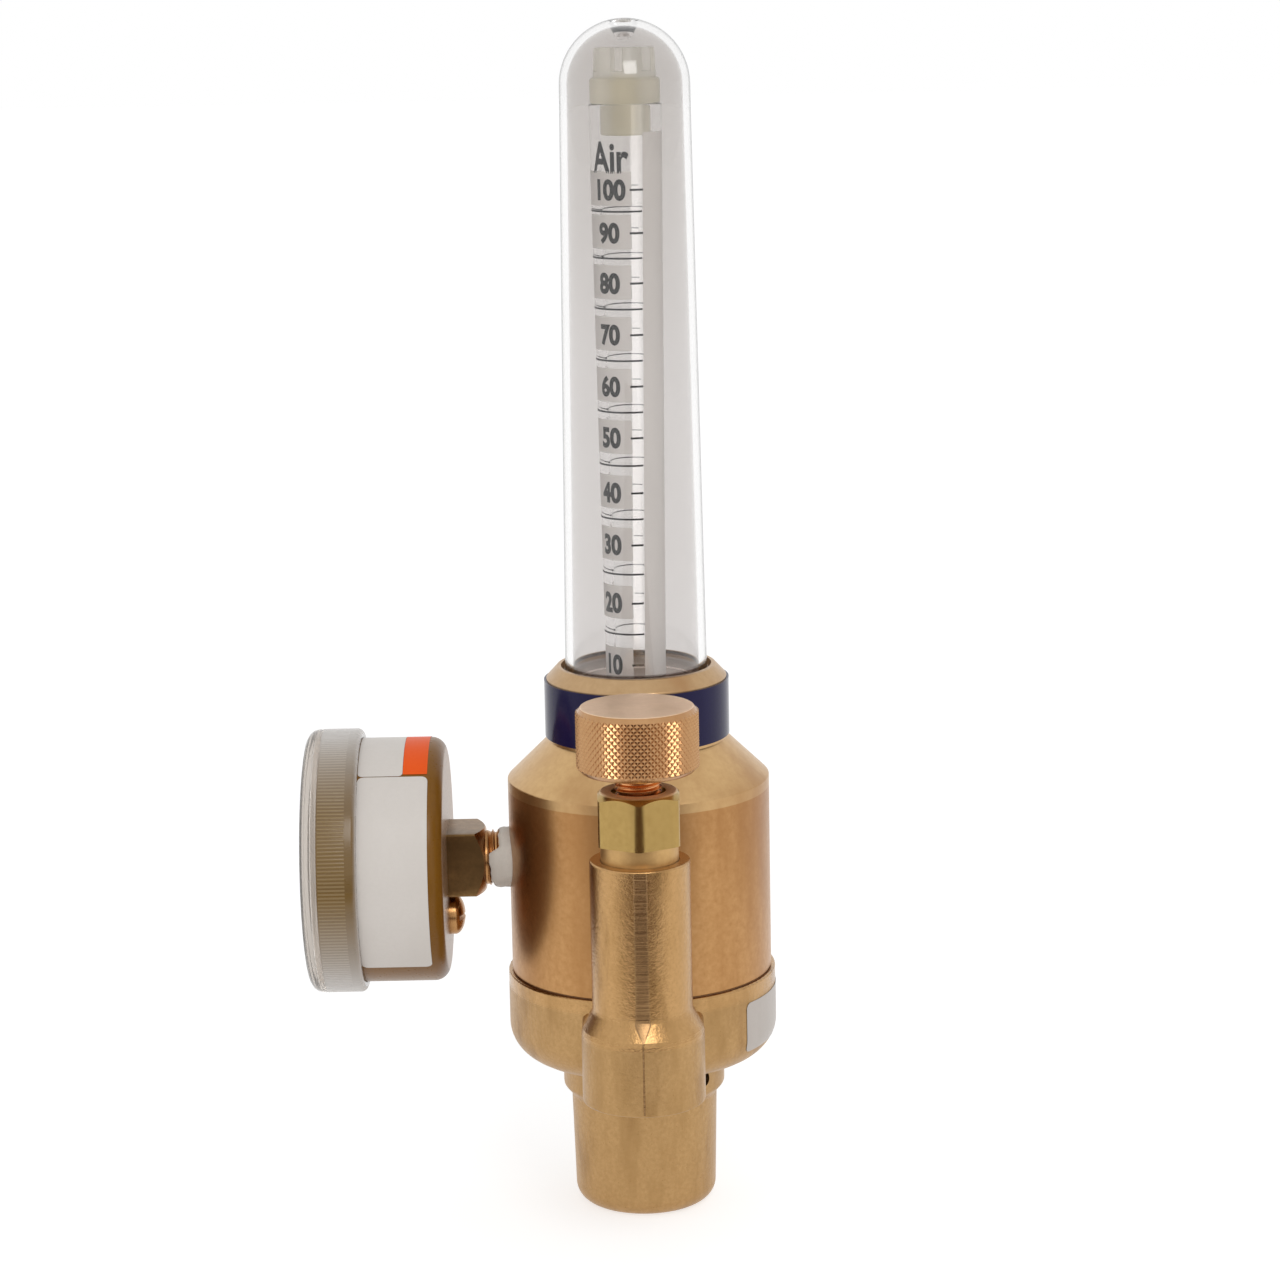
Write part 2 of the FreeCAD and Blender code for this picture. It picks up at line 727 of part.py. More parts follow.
# Flow tube, its stops and the clear cover
def flow_meter():
    def dome(name, radius, low_radius, low_height):
        wall = doc.addObject("Part::Cone", name + "_wall")
        bind(wall, Radius1=low_radius, Radius2=radius, Height=f"cover_high_height - {low_height}")
        bind_place(wall, z=low_height)
        crown = doc.addObject("Part::Sphere", name + "_crown")
        bind(crown, Radius=radius)
        crown.Angle1 = 0
        bind_place(crown, z="cover_high_height")
        return [wall, crown]

    foot = cylinder("cover_foot", "cover_foot_radius", "cover_foot_top - cover_foot_bottom")
    bind_place(foot, z="cover_foot_bottom")
    collar = cylinder("cover_collar", "cover_low_radius", "cover_low_height - cover_foot_top")
    bind_place(collar, z="cover_foot_top")
    outside = dome("cover_outside", "cover_high_radius", "cover_low_radius", "cover_low_height")
    inside = dome("cover_inside", "cover_high_radius - cover_wall", "cover_low_radius - cover_wall",
                  "cover_foot_bottom")
    keep("tube_cover", cut("tube_cover", fuse("cover_solid", [foot, collar] + outside), inside))
    ring = keep("cover_o_ring", torus("cover_o_ring", "cover_ring_radius", "cover_ring_wire"))
    bind_place(ring, z="cover_floor + cover_ring_wire")
    keep("flow_tube", turned("flow_tube", [
        ("tube_low_bore", "tube_bottom"),
        ("tube_low_radius", "tube_bottom"),
        ("tube_high_radius", "tube_top"),
        ("tube_high_bore", "tube_top"),
    ]))
    keep("tube_seal", turned("tube_seal", [
        ("tube_seal_hole", "tube_socket_floor"),
        ("tube_seal_radius", "tube_socket_floor"),
        ("tube_seal_radius", "tube_bottom"),
        ("tube_seal_hole", "tube_bottom"),
    ]))
    keep("float_stop", turned("float_stop", [
        ("stop_hole", "tube_bottom"),
        ("stop_radius", "tube_bottom"),
        ("stop_radius", "stop_top"),
        ("stop_hole", "stop_top"),
    ]))
    ball = doc.addObject("Part::Sphere", "float_ball")
    bind(ball, Radius="float_radius")
    bind_place(ball, z="float_height")
    keep("float_ball", ball)
    cap = turned("cap_turning", [
        ("cap_hole", "cap_plug_bottom"),
        ("cap_plug_radius", "cap_plug_bottom"),
        ("cap_plug_radius", "cap_ring_bottom"),
        ("cap_ring_radius", "cap_ring_bottom"),
        ("cap_ring_radius", "cap_ring_top"),
        ("cap_block_radius", "cap_ring_top"),
        ("cap_block_radius", "cap_block_top"),
        ("cap_hole", "cap_block_top"),
    ])
    slots = []
    for index, angle in enumerate((0, 60, 120)):
        slot = box(f"cap_slot_{index}", "cap_ring_radius + cap_ring_radius", "cap_slot_width",
                   "cap_block_top - cap_slot_floor + overrun")
        turn = Rotation(UP, angle)
        corner = Vector(-SIZES["cap_ring_radius"], -SIZES["cap_slot_width"] / 2, SIZES["cap_slot_floor"])
        slot.Placement = Placement(turn.multVec(corner), turn)
        slots.append(slot)
    keep("tube_top_cap", cut("tube_top_cap", cap, slots))
    keep("neck_band", turned("neck_band", [
        ("band_inner", "band_bottom"),
        ("band_outer", "band_bottom"),
        ("band_outer", "band_top"),
        ("band_inner", "band_top"),
    ]))


# Needle valve in the front barrel
def needle_valve():
    front = "0 - valve_reach"
    pieces = {
        "needle": [
            ("0", "needle_bottom"),
            ("needle_tip_radius", "needle_bottom"),
            ("needle_radius", "needle_shoulder"),
            ("needle_radius", "needle_top"),
            ("0", "needle_top"),
        ],
        "valve_stem": [
            ("0", "valve_socket_top"),
            ("valve_socket_radius", "valve_socket_top"),
            ("valve_socket_radius", "valve_stem_bottom"),
            ("valve_stem_radius", "valve_stem_bottom"),
            ("valve_stem_radius", "valve_stem_top"),
            ("0", "valve_stem_top"),
        ],
        "packing_washer": [
            ("washer_hole", "packing_floor"),
            ("washer_radius", "packing_floor"),
            ("washer_radius", "washer_top"),
            ("washer_hole", "washer_top"),
        ],
        "packing_ring": [
            ("stem_bore", "washer_top"),
            ("washer_radius", "washer_top"),
            ("washer_radius", "packing_top"),
            ("stem_bore", "packing_top"),
        ],
        "valve_knob": [
            ("knob_bore", "knob_bottom"),
            ("knob_radius - knob_edge", "knob_bottom"),
            ("knob_radius", "knob_bottom + knob_edge"),
            ("knob_radius", "knob_top - knob_edge"),
            ("knob_radius - knob_edge", "knob_top"),
            ("0", "knob_top"),
            ("0", "knob_bore_top"),
            ("knob_bore", "knob_bore_top"),
        ],
    }
    for node, points in pieces.items():
        bind_place(keep(node, turned(node, points)), y=front)
    nut = turned("nut_turning", [
        ("stem_bore", "packing_top"),
        ("nut_collar_radius", "packing_top"),
        ("nut_collar_radius", "nut_bottom"),
        ("nut_corner_radius", "nut_bottom"),
        ("nut_corner_radius", "nut_edge"),
        ("nut_face_radius", "nut_top"),
        ("nut_recess_radius", "nut_top"),
        ("nut_recess_radius", "nut_recess_floor"),
        ("stem_bore", "nut_recess_floor"),
    ])
    bind_place(nut, y=front)
    hexagon = doc.addObject("Part::Prism", "nut_hexagon")
    hexagon.Polygon = 6
    hexagon.Placement = Placement(Vector(), Rotation(UP, 90))
    hexagon.setExpression("Circumradius", "Dims.nut_across_flats / sqrt(3)")
    bind(hexagon, Height="nut_top - packing_top")
    bind_place(hexagon, y=front, z="packing_top")
    keep("packing_nut", common("packing_nut", nut, hexagon))


# Pressure gauge: its own axis runs out to the left, its X points up
GAUGE_TURN = Rotation(BACK, -90)


def on_gauge(thing, turn=0.0, up=None, side=None):
    thing.Placement = Placement(Vector(), GAUGE_TURN * Rotation(UP, turn))
    bind_place(thing, y=side, z=f"port_height + {up}" if up else "port_height")
    return thing


def gauge_rod(name, radius, start, length, up=None, side=None):
    rod = on_gauge(cylinder(name, radius, length), up=up, side=side)
    bind_place(rod, x=opposite(start))
    return rod


def gauge_housing():
    thread = on_gauge(turned("socket_thread", [
        ("0", "gauge_thread_start"),
        ("gauge_thread_tip", "gauge_thread_start"),
        ("gauge_thread_radius", "tape_start"),
        ("gauge_thread_radius", "square_start"),
        ("0", "square_start"),
    ]))
    square = on_gauge(box("socket_square", "square_size", "square_size", "case_back - gauge_neck"))
    bind_place(square, x="0 - gauge_neck", y="0 - square_size / 2", z="port_height - square_size / 2")
    trim = on_gauge(turned("socket_trim", [
        ("0", "gauge_neck"),
        ("square_face", "gauge_neck"),
        ("square_corner", "square_face_end"),
        ("square_corner", "case_back"),
        ("0", "case_back"),
    ]))
    spigot = gauge_rod("socket_spigot", "socket_spigot_radius", "case_back", "socket_spigot_length")
    block = on_gauge(box("socket_block", "block_depth + block_rise",
                         "block_half_width + block_half_width", "block_front - case_back - case_wall"))
    bind_place(block, x="0 - case_back - case_wall", y="0 - block_half_width",
               z="port_height - block_depth")
    bore = gauge_rod("socket_bore", "socket_bore", "gauge_thread_start - overrun",
                     "coil_level - gauge_thread_start")
    screw_hole = gauge_rod("socket_screw_hole", "screw_radius", "case_back", "screw_end - case_back",
                           up="0 - screw_offset")
    coil_end = Rotation(UP, SIZES["coil_tip_angle"] + SIZES["coil_sweep"]).multVec(RIGHT)
    cross = cylinder("socket_cross_bore", "socket_cross_radius", "coil_radius")
    gauge_axis = Placement(Vector(0, 0, SIZES["port_height"]), GAUGE_TURN)
    level = Vector(0, 0, SIZES["socket_cross_level"])
    cross.Placement = gauge_axis * Placement(level, Rotation(UP, coil_end))
    shank = common("socket_shank", square, trim)
    solid = fuse("socket_solid", [thread, shank, spigot, block])
    keep("gauge_socket", cut("gauge_socket", solid, [bore, screw_hole, cross]))

    cup = turned("case_cup", [
        ("socket_hole", "case_back"),
        ("case_radius", "case_back"),
        ("case_radius", "case_front"),
        ("case_radius - case_wall", "case_front"),
        ("case_radius - case_wall", "case_back + case_wall"),
        ("socket_hole", "case_back + case_wall"),
    ])
    round_rings(cup, "case_fillet", "case_round", [("case_radius", "case_back")])
    round_rings(cup, "case_inner_fillet", "case_round - case_wall",
                [("case_radius - case_wall", "case_back + case_wall")])
    on_gauge(cup)
    hole = gauge_rod("case_screw_hole", "screw_hole", "case_back - overrun", "case_wall + overrun + overrun",
                     up="0 - screw_offset")
    keep("gauge_case", cut("gauge_case", cup, [hole]))

    lens = turned("gauge_lens", [
        ("0", "lens_front"),
        ("lens_radius", "lens_front"),
        ("lens_radius", "lens_start"),
        ("lens_bore", "lens_start"),
        ("lens_bore", "lens_inside"),
        ("0", "lens_inside"),
    ])
    round_rings(lens, "lens_fillet", "lens_round", [("lens_radius", "lens_front")])
    round_rings(lens, "lens_lip_fillet", "lens_lip_round", [("lens_radius", "lens_start")])
    keep("gauge_lens", on_gauge(lens))
    keep("gauge_dial", on_gauge(turned("gauge_dial", [
        ("dial_hole", "dial_back"),
        ("dial_radius", "dial_back"),
        ("dial_radius", "dial_front"),
        ("dial_hole", "dial_front"),
    ])))
    keep("thread_tape", on_gauge(turned("thread_tape", [
        ("tape_inner", "tape_start"),
        ("tape_outer", "tape_start"),
        ("tape_outer", "tape_end"),
        ("tape_inner", "tape_end"),
    ])))
    head = turned("screw_turning", [
        ("0", "case_back - screw_head_height"),
        ("screw_head_radius", "case_back - screw_head_height"),
        ("screw_head_radius", "case_back"),
        ("screw_radius", "case_back"),
        ("screw_radius", "screw_end"),
        ("0", "screw_end"),
    ])
    round_rings(head, "screw_fillet", "screw_radius",
                [("screw_head_radius", "case_back - screw_head_height")])
    on_gauge(head, up="0 - screw_offset")
    slot = on_gauge(box("screw_slot", "screw_slot", "screw_head_radius * 2", "screw_slot"))
    bind_place(slot, x="screw_head_height - case_back", y="0 - screw_head_radius",
               z="port_height - screw_offset - screw_slot / 2")
    keep("gauge_screw", cut("gauge_screw", head, [slot]))


# Gauge movement: coiled tube, link, toothed sector and pinion
def add_turning(body, name, points):
    sketch = outline(body, name + "_outline", points)
    revolution = body.newObject("PartDesign::Revolution", name + "_turning")
    revolution.Profile = sketch
    revolution.ReferenceAxis = (sketch, ["V_Axis"])
    revolution.Angle = 360


def add_teeth(body, name, root, tip, start, thickness, runs):
    # Each run is the angle and the count of teeth it lays out, the first tooth included
    sketch = outline(body, name + "_tooth", [
        (f"{root} - tooth_sink", "0 - tooth_root_half"),
        (tip, "0 - tooth_tip_half"),
        (tip, "tooth_tip_half"),
        (f"{root} - tooth_sink", "tooth_root_half"),
    ], "XY_Plane", start)
    tooth = body.newObject("PartDesign::Pad", name + "_tooth_pad")
    tooth.Profile = sketch
    bind(tooth, Length=thickness)
    doc.recompute()
    for index, (angle, count) in enumerate(runs):
        pattern = body.newObject("PartDesign::PolarPattern", f"{name}_teeth_{index}")
        pattern.Originals = [tooth]
        pattern.Axis = (origin_feature(body, "Z_Axis"), [""])
        pattern.Reversed = angle < 0
        pattern.Angle = abs(angle)
        pattern.Occurrences = count
        body.Tip = pattern
        doc.recompute()


def gauge_gears():
    tooth_angle = 360.0 / SECTOR_WHEEL_TEETH
    arbor = new_body("pinion_arbor")
    add_turning(arbor, "pinion", [
        ("0", "arbor_back"),
        ("arbor_radius", "arbor_back"),
        ("arbor_radius", "pinion_back"),
        ("pinion_root", "pinion_back"),
        ("pinion_root", "pinion_back + pinion_length"),
        ("arbor_radius", "pinion_back + pinion_length"),
        ("arbor_radius", "arbor_front"),
        ("0", "arbor_front"),
    ])
    add_teeth(arbor, "pinion", "pinion_root", "pinion_tip", "pinion_back", "pinion_length",
              [(360.0, PINION_TEETH)])
    keep("pinion_arbor", on_gauge(arbor, turn=180.0 / PINION_TEETH))

    sector = padded("sector_wheel", [
        ("0 - sector_tail", "0 - sector_tail_width"),
        ("0", "0 - sector_hub"),
        ("sector_edge_out", "0 - sector_edge_side", "arc"),
        ("sector_edge_out", "sector_edge_side"),
        ("0", "sector_hub"),
        ("0 - sector_tail", "sector_tail_width"),
    ], "gear_back", "gear_thickness")
    add_turning(sector, "sector", [
        ("0", "arbor_back"),
        ("arbor_radius", "arbor_back"),
        ("arbor_radius", "front_plate_back + plate_thickness"),
        ("0", "front_plate_back + plate_thickness"),
    ])
    half = (SECTOR_TEETH - 1) // 2
    add_teeth(sector, "sector", "sector_root", "sector_tip", "gear_back", "gear_thickness",
              [(half * tooth_angle, half + 1), (-half * tooth_angle, half + 1)])
    rest = -SECTOR_REST_TEETH * tooth_angle
    on_gauge(sector, turn=rest, up="0 - sector_reach")
    tail_pin = Rotation(UP, rest).multVec(Vector(-SIZES["sector_pin_reach"], 0, 0))
    tail_pin -= Vector(SIZES["sector_reach"], 0, 0)
    pin = cylinder("sector_pin", "link_pin", "link_back + link_thickness - gear_back")
    place_on_gauge(pin, tail_pin, "gear_back")
    keep("sector_gear", fuse("sector_gear", [sector, pin]))
    return tail_pin


def place_on_gauge(thing, spot, start, turn=0.0):
    # spot is a point across the gauge's axis, start is the alias of its distance out
    local = Placement(Vector(spot.x, spot.y, SIZES[start]), Rotation(UP, turn))
    axis = Placement(Vector(0, 0, SIZES["port_height"]), GAUGE_TURN)
    thing.Placement = axis * local


def gauge_tube(tail_pin):
    section = doc.addObject("Part::Ellipse", "coil_section")
    bind(section, MajorRadius="coil_half_height", MinorRadius="coil_half_width")
    section.Placement = Placement(Vector(), Rotation(UP, RIGHT, BACK, "ZXY"))
    bind_place(section, x="coil_radius", z="coil_level")
    coil = doc.addObject("Part::Revolution", "coil_turning")
    coil.Source = section
    coil.Axis = UP
    coil.Solid = True
    bind(coil, Angle="coil_sweep")
    on_gauge(coil, turn=SIZES["coil_tip_angle"])
    tip = Rotation(UP, SIZES["coil_tip_angle"]).multVec(Vector(SIZES["coil_radius"], 0, 0))
    post = cylinder("coil_post", "coil_post_radius", "link_back - coil_level - link_gap")
    place_on_gauge(post, tip, "coil_level")
    keep("bourdon_tube", fuse("bourdon_tube", [coil, post]))

    reach = tip - tail_pin
    angle = math.degrees(math.atan2(reach.y, reach.x))
    side = Rotation(UP, angle).multVec(Vector(0, -SIZES["link_eye"], 0))
    bar = box("link_bar", f"{reach.Length:.6f}", "link_eye + link_eye", "link_thickness")
    place_on_gauge(bar, tail_pin + side, "link_back", angle)
    eyes = []
    for index, spot in enumerate((tail_pin, tip)):
        eye = cylinder(f"link_eye_{index}", "link_eye", "link_thickness")
        place_on_gauge(eye, spot, "link_back")
        eyes.append(eye)
    hole = cylinder("link_hole", "link_hole", "link_thickness + overrun + overrun")
    place_on_gauge(hole, tail_pin, "gear_back")
    keep("movement_link", cut("movement_link", fuse("link_solid", [bar] + eyes), [hole]))


def gauge_frame():
    for node, start in (("movement_back_plate", "block_front"),
                        ("movement_front_plate", "front_plate_back")):
        plate = padded(node + "_blank", [
            ("0 - plate_low", "0 - plate_half_width"),
            ("plate_high", "0 - plate_half_width"),
            ("plate_high", "plate_half_width"),
            ("0 - plate_low", "plate_half_width"),
        ], start, "plate_thickness")
        on_gauge(plate)
        holes = [gauge_rod(f"{node}_hole_{index}", "arbor_hole", f"{start} - overrun",
                           "plate_thickness + overrun + overrun", up=up)
                 for index, up in enumerate((None, "0 - sector_reach"))]
        keep(node, cut(node, plate, holes))
    pillars = []
    for up in ("0 - pillar_low", "pillar_high"):
        for side in ("0 - pillar_side", "pillar_side"):
            name = f"pillar_{len(pillars)}"
            pillars.append(gauge_rod(name, "pillar_radius", "block_front + plate_thickness",
                                     "front_plate_back - block_front - plate_thickness", up, side))
    keep("movement_pillars", fuse("movement_pillars", pillars))


def gauge_pointer():
    blade = padded("pointer_blade", [
        ("0 - pointer_tail", "0 - pointer_root"),
        ("pointer_length", "0 - pointer_tip"),
        ("pointer_length", "pointer_tip"),
        ("0 - pointer_tail", "pointer_root"),
    ], "pointer_back", "pointer_front - pointer_back")
    on_gauge(blade, turn=SIZES["pointer_rest_angle"])
    hub = gauge_rod("pointer_boss", "pointer_hub", "pointer_back", "pointer_front - pointer_back")
    hole = gauge_rod("pointer_hole", "arbor_hole", "pointer_back - overrun",
                     "pointer_front - pointer_back + overrun + overrun")
    keep("gauge_pointer", cut("gauge_pointer", fuse("pointer_solid", [blade, hub]), [hole]))


def gauge_movement():
    gauge_tube(gauge_gears())
    gauge_frame()
    gauge_pointer()


BUILDERS = [lower_body, upper_body, body_seals, pressure_reducer, flow_meter, needle_valve,
            gauge_housing, gauge_movement]
for build in BUILDERS:
    build()
doc.recompute()

faults = [item.Name for item in doc.Objects if {"Invalid", "Error"} & set(item.State)]
faults += [node for node, item in nodes.items() if item.Shape.isNull() or not item.Shape.isValid()]
if faults:
    raise RuntimeError("failed objects: " + ", ".join(faults))

os.makedirs("parts", exist_ok=True)
for node, item in nodes.items():
    item.Shape.exportStep(f"parts/{node}.step")
    print(f"{node}: {item.Shape.Volume:.1f} mm3, {len(item.Shape.Solids)} solid")
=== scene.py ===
# %% [markdown]
# # Gas flow meter regulator
# A brass regulator holds a needle valve in front, a small pressure gauge on its left, and a
# clear flow tube under a domed cover on top. The solids come packed from CAD. This lesson gives
# them their finishes, and rebuilds the pieces whose small forms only a mesh can show.

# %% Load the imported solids
import math

import bmesh
import bpy
from mathutils import Matrix, Vector


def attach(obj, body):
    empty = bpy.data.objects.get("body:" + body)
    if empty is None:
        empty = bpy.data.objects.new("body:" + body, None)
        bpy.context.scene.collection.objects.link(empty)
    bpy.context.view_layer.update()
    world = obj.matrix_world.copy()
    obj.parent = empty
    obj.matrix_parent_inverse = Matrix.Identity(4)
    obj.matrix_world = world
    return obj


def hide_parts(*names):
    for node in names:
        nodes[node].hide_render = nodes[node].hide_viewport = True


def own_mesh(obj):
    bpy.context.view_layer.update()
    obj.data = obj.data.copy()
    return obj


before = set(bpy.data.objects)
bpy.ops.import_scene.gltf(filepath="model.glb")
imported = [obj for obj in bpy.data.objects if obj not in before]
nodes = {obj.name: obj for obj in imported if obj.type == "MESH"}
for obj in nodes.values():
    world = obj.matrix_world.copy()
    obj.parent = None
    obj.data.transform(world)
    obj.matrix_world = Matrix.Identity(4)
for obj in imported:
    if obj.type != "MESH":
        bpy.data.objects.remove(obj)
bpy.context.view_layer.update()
MM = 0.001
print(len(nodes), "solids loaded")

# %% [markdown]
# ## Camera
# The photograph was taken from in front with a long lens, a little above the part, and the part
# leans a touch to the left in the frame. A focal length counted in pixels of the picture gives
# the lens, and the camera is turned about its own axis for the lean.

# %% Place the camera
PICTURE_PIXELS = 1280
FOCAL_PIXELS = 3500
LOOK_DOWN = math.radians(11.6)
LEAN = math.radians(-1.13)
DISTANCE = 609 * MM
aim = Vector((0.77, 0, 101.7)) * MM

lens = bpy.data.cameras.new("photo_camera")
lens.sensor_width = 36
lens.lens = lens.sensor_width * FOCAL_PIXELS / PICTURE_PIXELS
camera = bpy.data.objects.new("photo_camera", lens)
away = Vector((0, -math.cos(LOOK_DOWN), math.sin(LOOK_DOWN)))
turn = Matrix.Rotation(math.pi / 2 - LOOK_DOWN, 4, "X") @ Matrix.Rotation(LEAN, 4, "Z")
camera.matrix_world = Matrix.Translation(aim + away * DISTANCE) @ turn
bpy.context.scene.collection.objects.link(camera)
bpy.context.scene.camera = camera
bpy.context.scene.view_settings.view_transform = "Standard"
print("lens", round(lens.lens, 1), "mm")

# %% [markdown]
# ## Floor and light
# The part stands in a white tent, so bright metal mostly shows its own colour. A world of even
# white does that. Light Path keeps the white for what the camera, the metal and the clear
# plastic see, and lights the paint and paper a little less.

# %% Short names for node work
def add_node(tree, kind, **settings):
    node = tree.nodes.new(kind)
    for name, value in settings.items():
        setattr(node, name, value)
    return node


def join(tree, source, target):
    # source is a socket to link, or a value that the target keeps as its own
    if isinstance(source, bpy.types.NodeSocket):
        tree.links.new(source, target)
    else:
        target.default_value = source


def calc(tree, operation, *values):
    node = add_node(tree, "ShaderNodeMath", operation=operation)
    for value, target in zip(values, node.inputs):
        join(tree, value, target)
    return node.outputs[0]


def spread(tree, value, low, high, from_low=0.0, from_high=1.0, **settings):
    # Takes a value from one range to another
    step = add_node(tree, "ShaderNodeMapRange", **settings)
    for label, source in (("Value", value), ("From Min", from_low), ("From Max", from_high),
                          ("To Min", low), ("To Max", high)):
        join(tree, source, step.inputs[label])
    return step.outputs["Result"]


def new_material(name):
    material = bpy.data.materials.new(name)
    material.use_nodes = True
    tree = material.node_tree
    return material, tree, tree.nodes["Principled BSDF"]


# %% White world
def seen_directly(tree):
    # 1 for camera, glossy and transmission rays, 0 for light that falls on matt surfaces
    path = add_node(tree, "ShaderNodeLightPath").outputs
    first = calc(tree, "MAXIMUM", path["Is Camera Ray"], path["Is Glossy Ray"])
    return calc(tree, "MAXIMUM", first, path["Is Transmission Ray"])


MATT_LIGHT = 0.62
world = bpy.data.worlds.new("white_tent")
bpy.context.scene.world = world
world.use_nodes = True
tree = world.node_tree
background = tree.nodes["Background"]
background.inputs["Color"].default_value = (1, 1, 1, 1)
join(tree, spread(tree, seen_directly(tree), MATT_LIGHT, 1.0), background.inputs["Strength"])
print("world lights matt surfaces at", MATT_LIGHT)

# %% [markdown]
# The floor is pale paper. Part of its white is its own glow and the rest is light that falls on
# it, so it meets the white behind it and still holds the soft shadow under the part. In front,
# the paper ends and the room is dark. Upright metal mirrors that dark, which gives the valve
# barrel and its nut their deep middle stripe, so a dark card lies there. It is seen in
# reflections only, and clear plastic looks through it.

# %% Floor
def flat_card(name, size_x, size_y, centre):
    mesh = bpy.data.meshes.new(name)
    bm = bmesh.new()
    bmesh.ops.create_grid(bm, x_segments=1, y_segments=1, size=0.5)
    bmesh.ops.scale(bm, vec=(size_x, size_y, 1), verts=bm.verts)
    bmesh.ops.translate(bm, vec=centre, verts=bm.verts)
    bm.to_mesh(mesh)
    bm.free()
    card = bpy.data.objects.new(name, mesh)
    bpy.context.scene.collection.objects.link(card)
    return card


FLOOR_GLOW_MATT, FLOOR_GLOW_SEEN = 0.25, 0.66
floor = flat_card("floor", 8, 8, (0, 0, -0.0001))
paper, tree, shader = new_material("floor_paper")
tree.nodes.remove(shader)
glow = add_node(tree, "ShaderNodeEmission")
join(tree, spread(tree, seen_directly(tree), FLOOR_GLOW_MATT, FLOOR_GLOW_SEEN), glow.inputs["Strength"])
matt = add_node(tree, "ShaderNodeBsdfDiffuse")
matt.inputs["Color"].default_value = (0.62, 0.62, 0.62, 1)
total = add_node(tree, "ShaderNodeAddShader")
join(tree, glow.outputs[0], total.inputs[0])
join(tree, matt.outputs[0], total.inputs[1])
join(tree, total.outputs[0], tree.nodes["Material Output"].inputs["Surface"])
floor.data.materials.append(paper)
print("floor", [round(side, 2) for side in floor.dimensions], "m")

# %% Dark card and soft lamp
dark_card = flat_card("dark_room", 0.5, 1.3, (0.01, -0.83, 0.0002))
dark, tree, shader = new_material("dark_room")
tree.nodes.remove(shader)
gloom = add_node(tree, "ShaderNodeEmission")
gloom.inputs["Color"].default_value = (0.12, 0.068, 0.045, 1)
opening = add_node(tree, "ShaderNodeBsdfTransparent")
walls_passed = add_node(tree, "ShaderNodeLightPath").outputs["Transmission Depth"]
choice = add_node(tree, "ShaderNodeMixShader")
join(tree, calc(tree, "GREATER_THAN", walls_passed, 0.5), choice.inputs["Fac"])
join(tree, gloom.outputs[0], choice.inputs[1])
join(tree, opening.outputs[0], choice.inputs[2])
join(tree, choice.outputs[0], tree.nodes["Material Output"].inputs["Surface"])
dark_card.data.materials.append(dark)
dark_card.visible_camera = False
dark_card.visible_diffuse = False
dark_card.visible_shadow = False
dark_card.visible_transmission = False

key_light = bpy.data.lights.new("soft_key", "AREA")
key_light.size = 0.3
key_light.energy = 1.2
key = bpy.data.objects.new("soft_key", key_light)
key_place = Vector((0.13, -0.62, 0.6))
key_aim = (key_place - Vector((0, 0, 0.1))).to_track_quat("Z", "Y")
key.matrix_world = Matrix.Translation(key_place) @ key_aim.to_matrix().to_4x4()
bpy.context.scene.collection.objects.link(key)
print("floor, dark card and one soft lamp")

# %% [markdown]
# ## Shared surface effects
# Three effects come back on many pieces: the rings that a lathe tool leaves, the mottle and pits
# of a forging, and the smears that hands and polish leave. Each is a node group that reads a
# position and gives out masks, so every material can place it with its own strength.

# %% Helpers for the groups
def new_group(name, outputs):
    group = bpy.data.node_groups.new(name, "ShaderNodeTree")
    group.interface.new_socket("Vector", in_out="INPUT", socket_type="NodeSocketVector")
    group.interface.new_socket("Scale", in_out="INPUT", socket_type="NodeSocketFloat")
    for label in outputs:
        group.interface.new_socket(label, in_out="OUTPUT", socket_type="NodeSocketFloat")
    start = group.nodes.new("NodeGroupInput").outputs
    end = group.nodes.new("NodeGroupOutput").inputs
    return group, start["Vector"], start["Scale"], end


def noise(tree, vector, scale, detail, roughness=0.55):
    texture = add_node(tree, "ShaderNodeTexNoise")
    for label, source in (("Vector", vector), ("Scale", scale), ("Detail", detail),
                          ("Roughness", roughness)):
        join(tree, source, texture.inputs[label])
    return texture.outputs["Fac"]


def split(tree, vector):
    parts = add_node(tree, "ShaderNodeSeparateXYZ")
    join(tree, vector, parts.inputs[0])
    return parts.outputs


def distance_from_axis(tree, vector):
    flat = add_node(tree, "ShaderNodeVectorMath", operation="MULTIPLY")
    join(tree, vector, flat.inputs[0])
    flat.inputs[1].default_value = (1, 1, 0)
    across = add_node(tree, "ShaderNodeVectorMath", operation="LENGTH")
    join(tree, flat.outputs["Vector"], across.inputs[0])
    return across.outputs["Value"]


# %% Lathe marks
lathe_marks, place, scale, end = new_group("lathe_marks", ["Rings"])
wander = calc(lathe_marks, "MULTIPLY", noise(lathe_marks, place, 60.0, 1.0), 0.0004)
spot = add_node(lathe_marks, "ShaderNodeCombineXYZ")
join(lathe_marks, distance_from_axis(lathe_marks, place), spot.inputs["X"])
join(lathe_marks, calc(lathe_marks, "ADD", split(lathe_marks, place)["Z"], wander), spot.inputs["Z"])
join(lathe_marks, noise(lathe_marks, spot.outputs[0], scale, 4.0, 0.7), end["Rings"])
print("lathe marks", len(lathe_marks.nodes), "nodes")

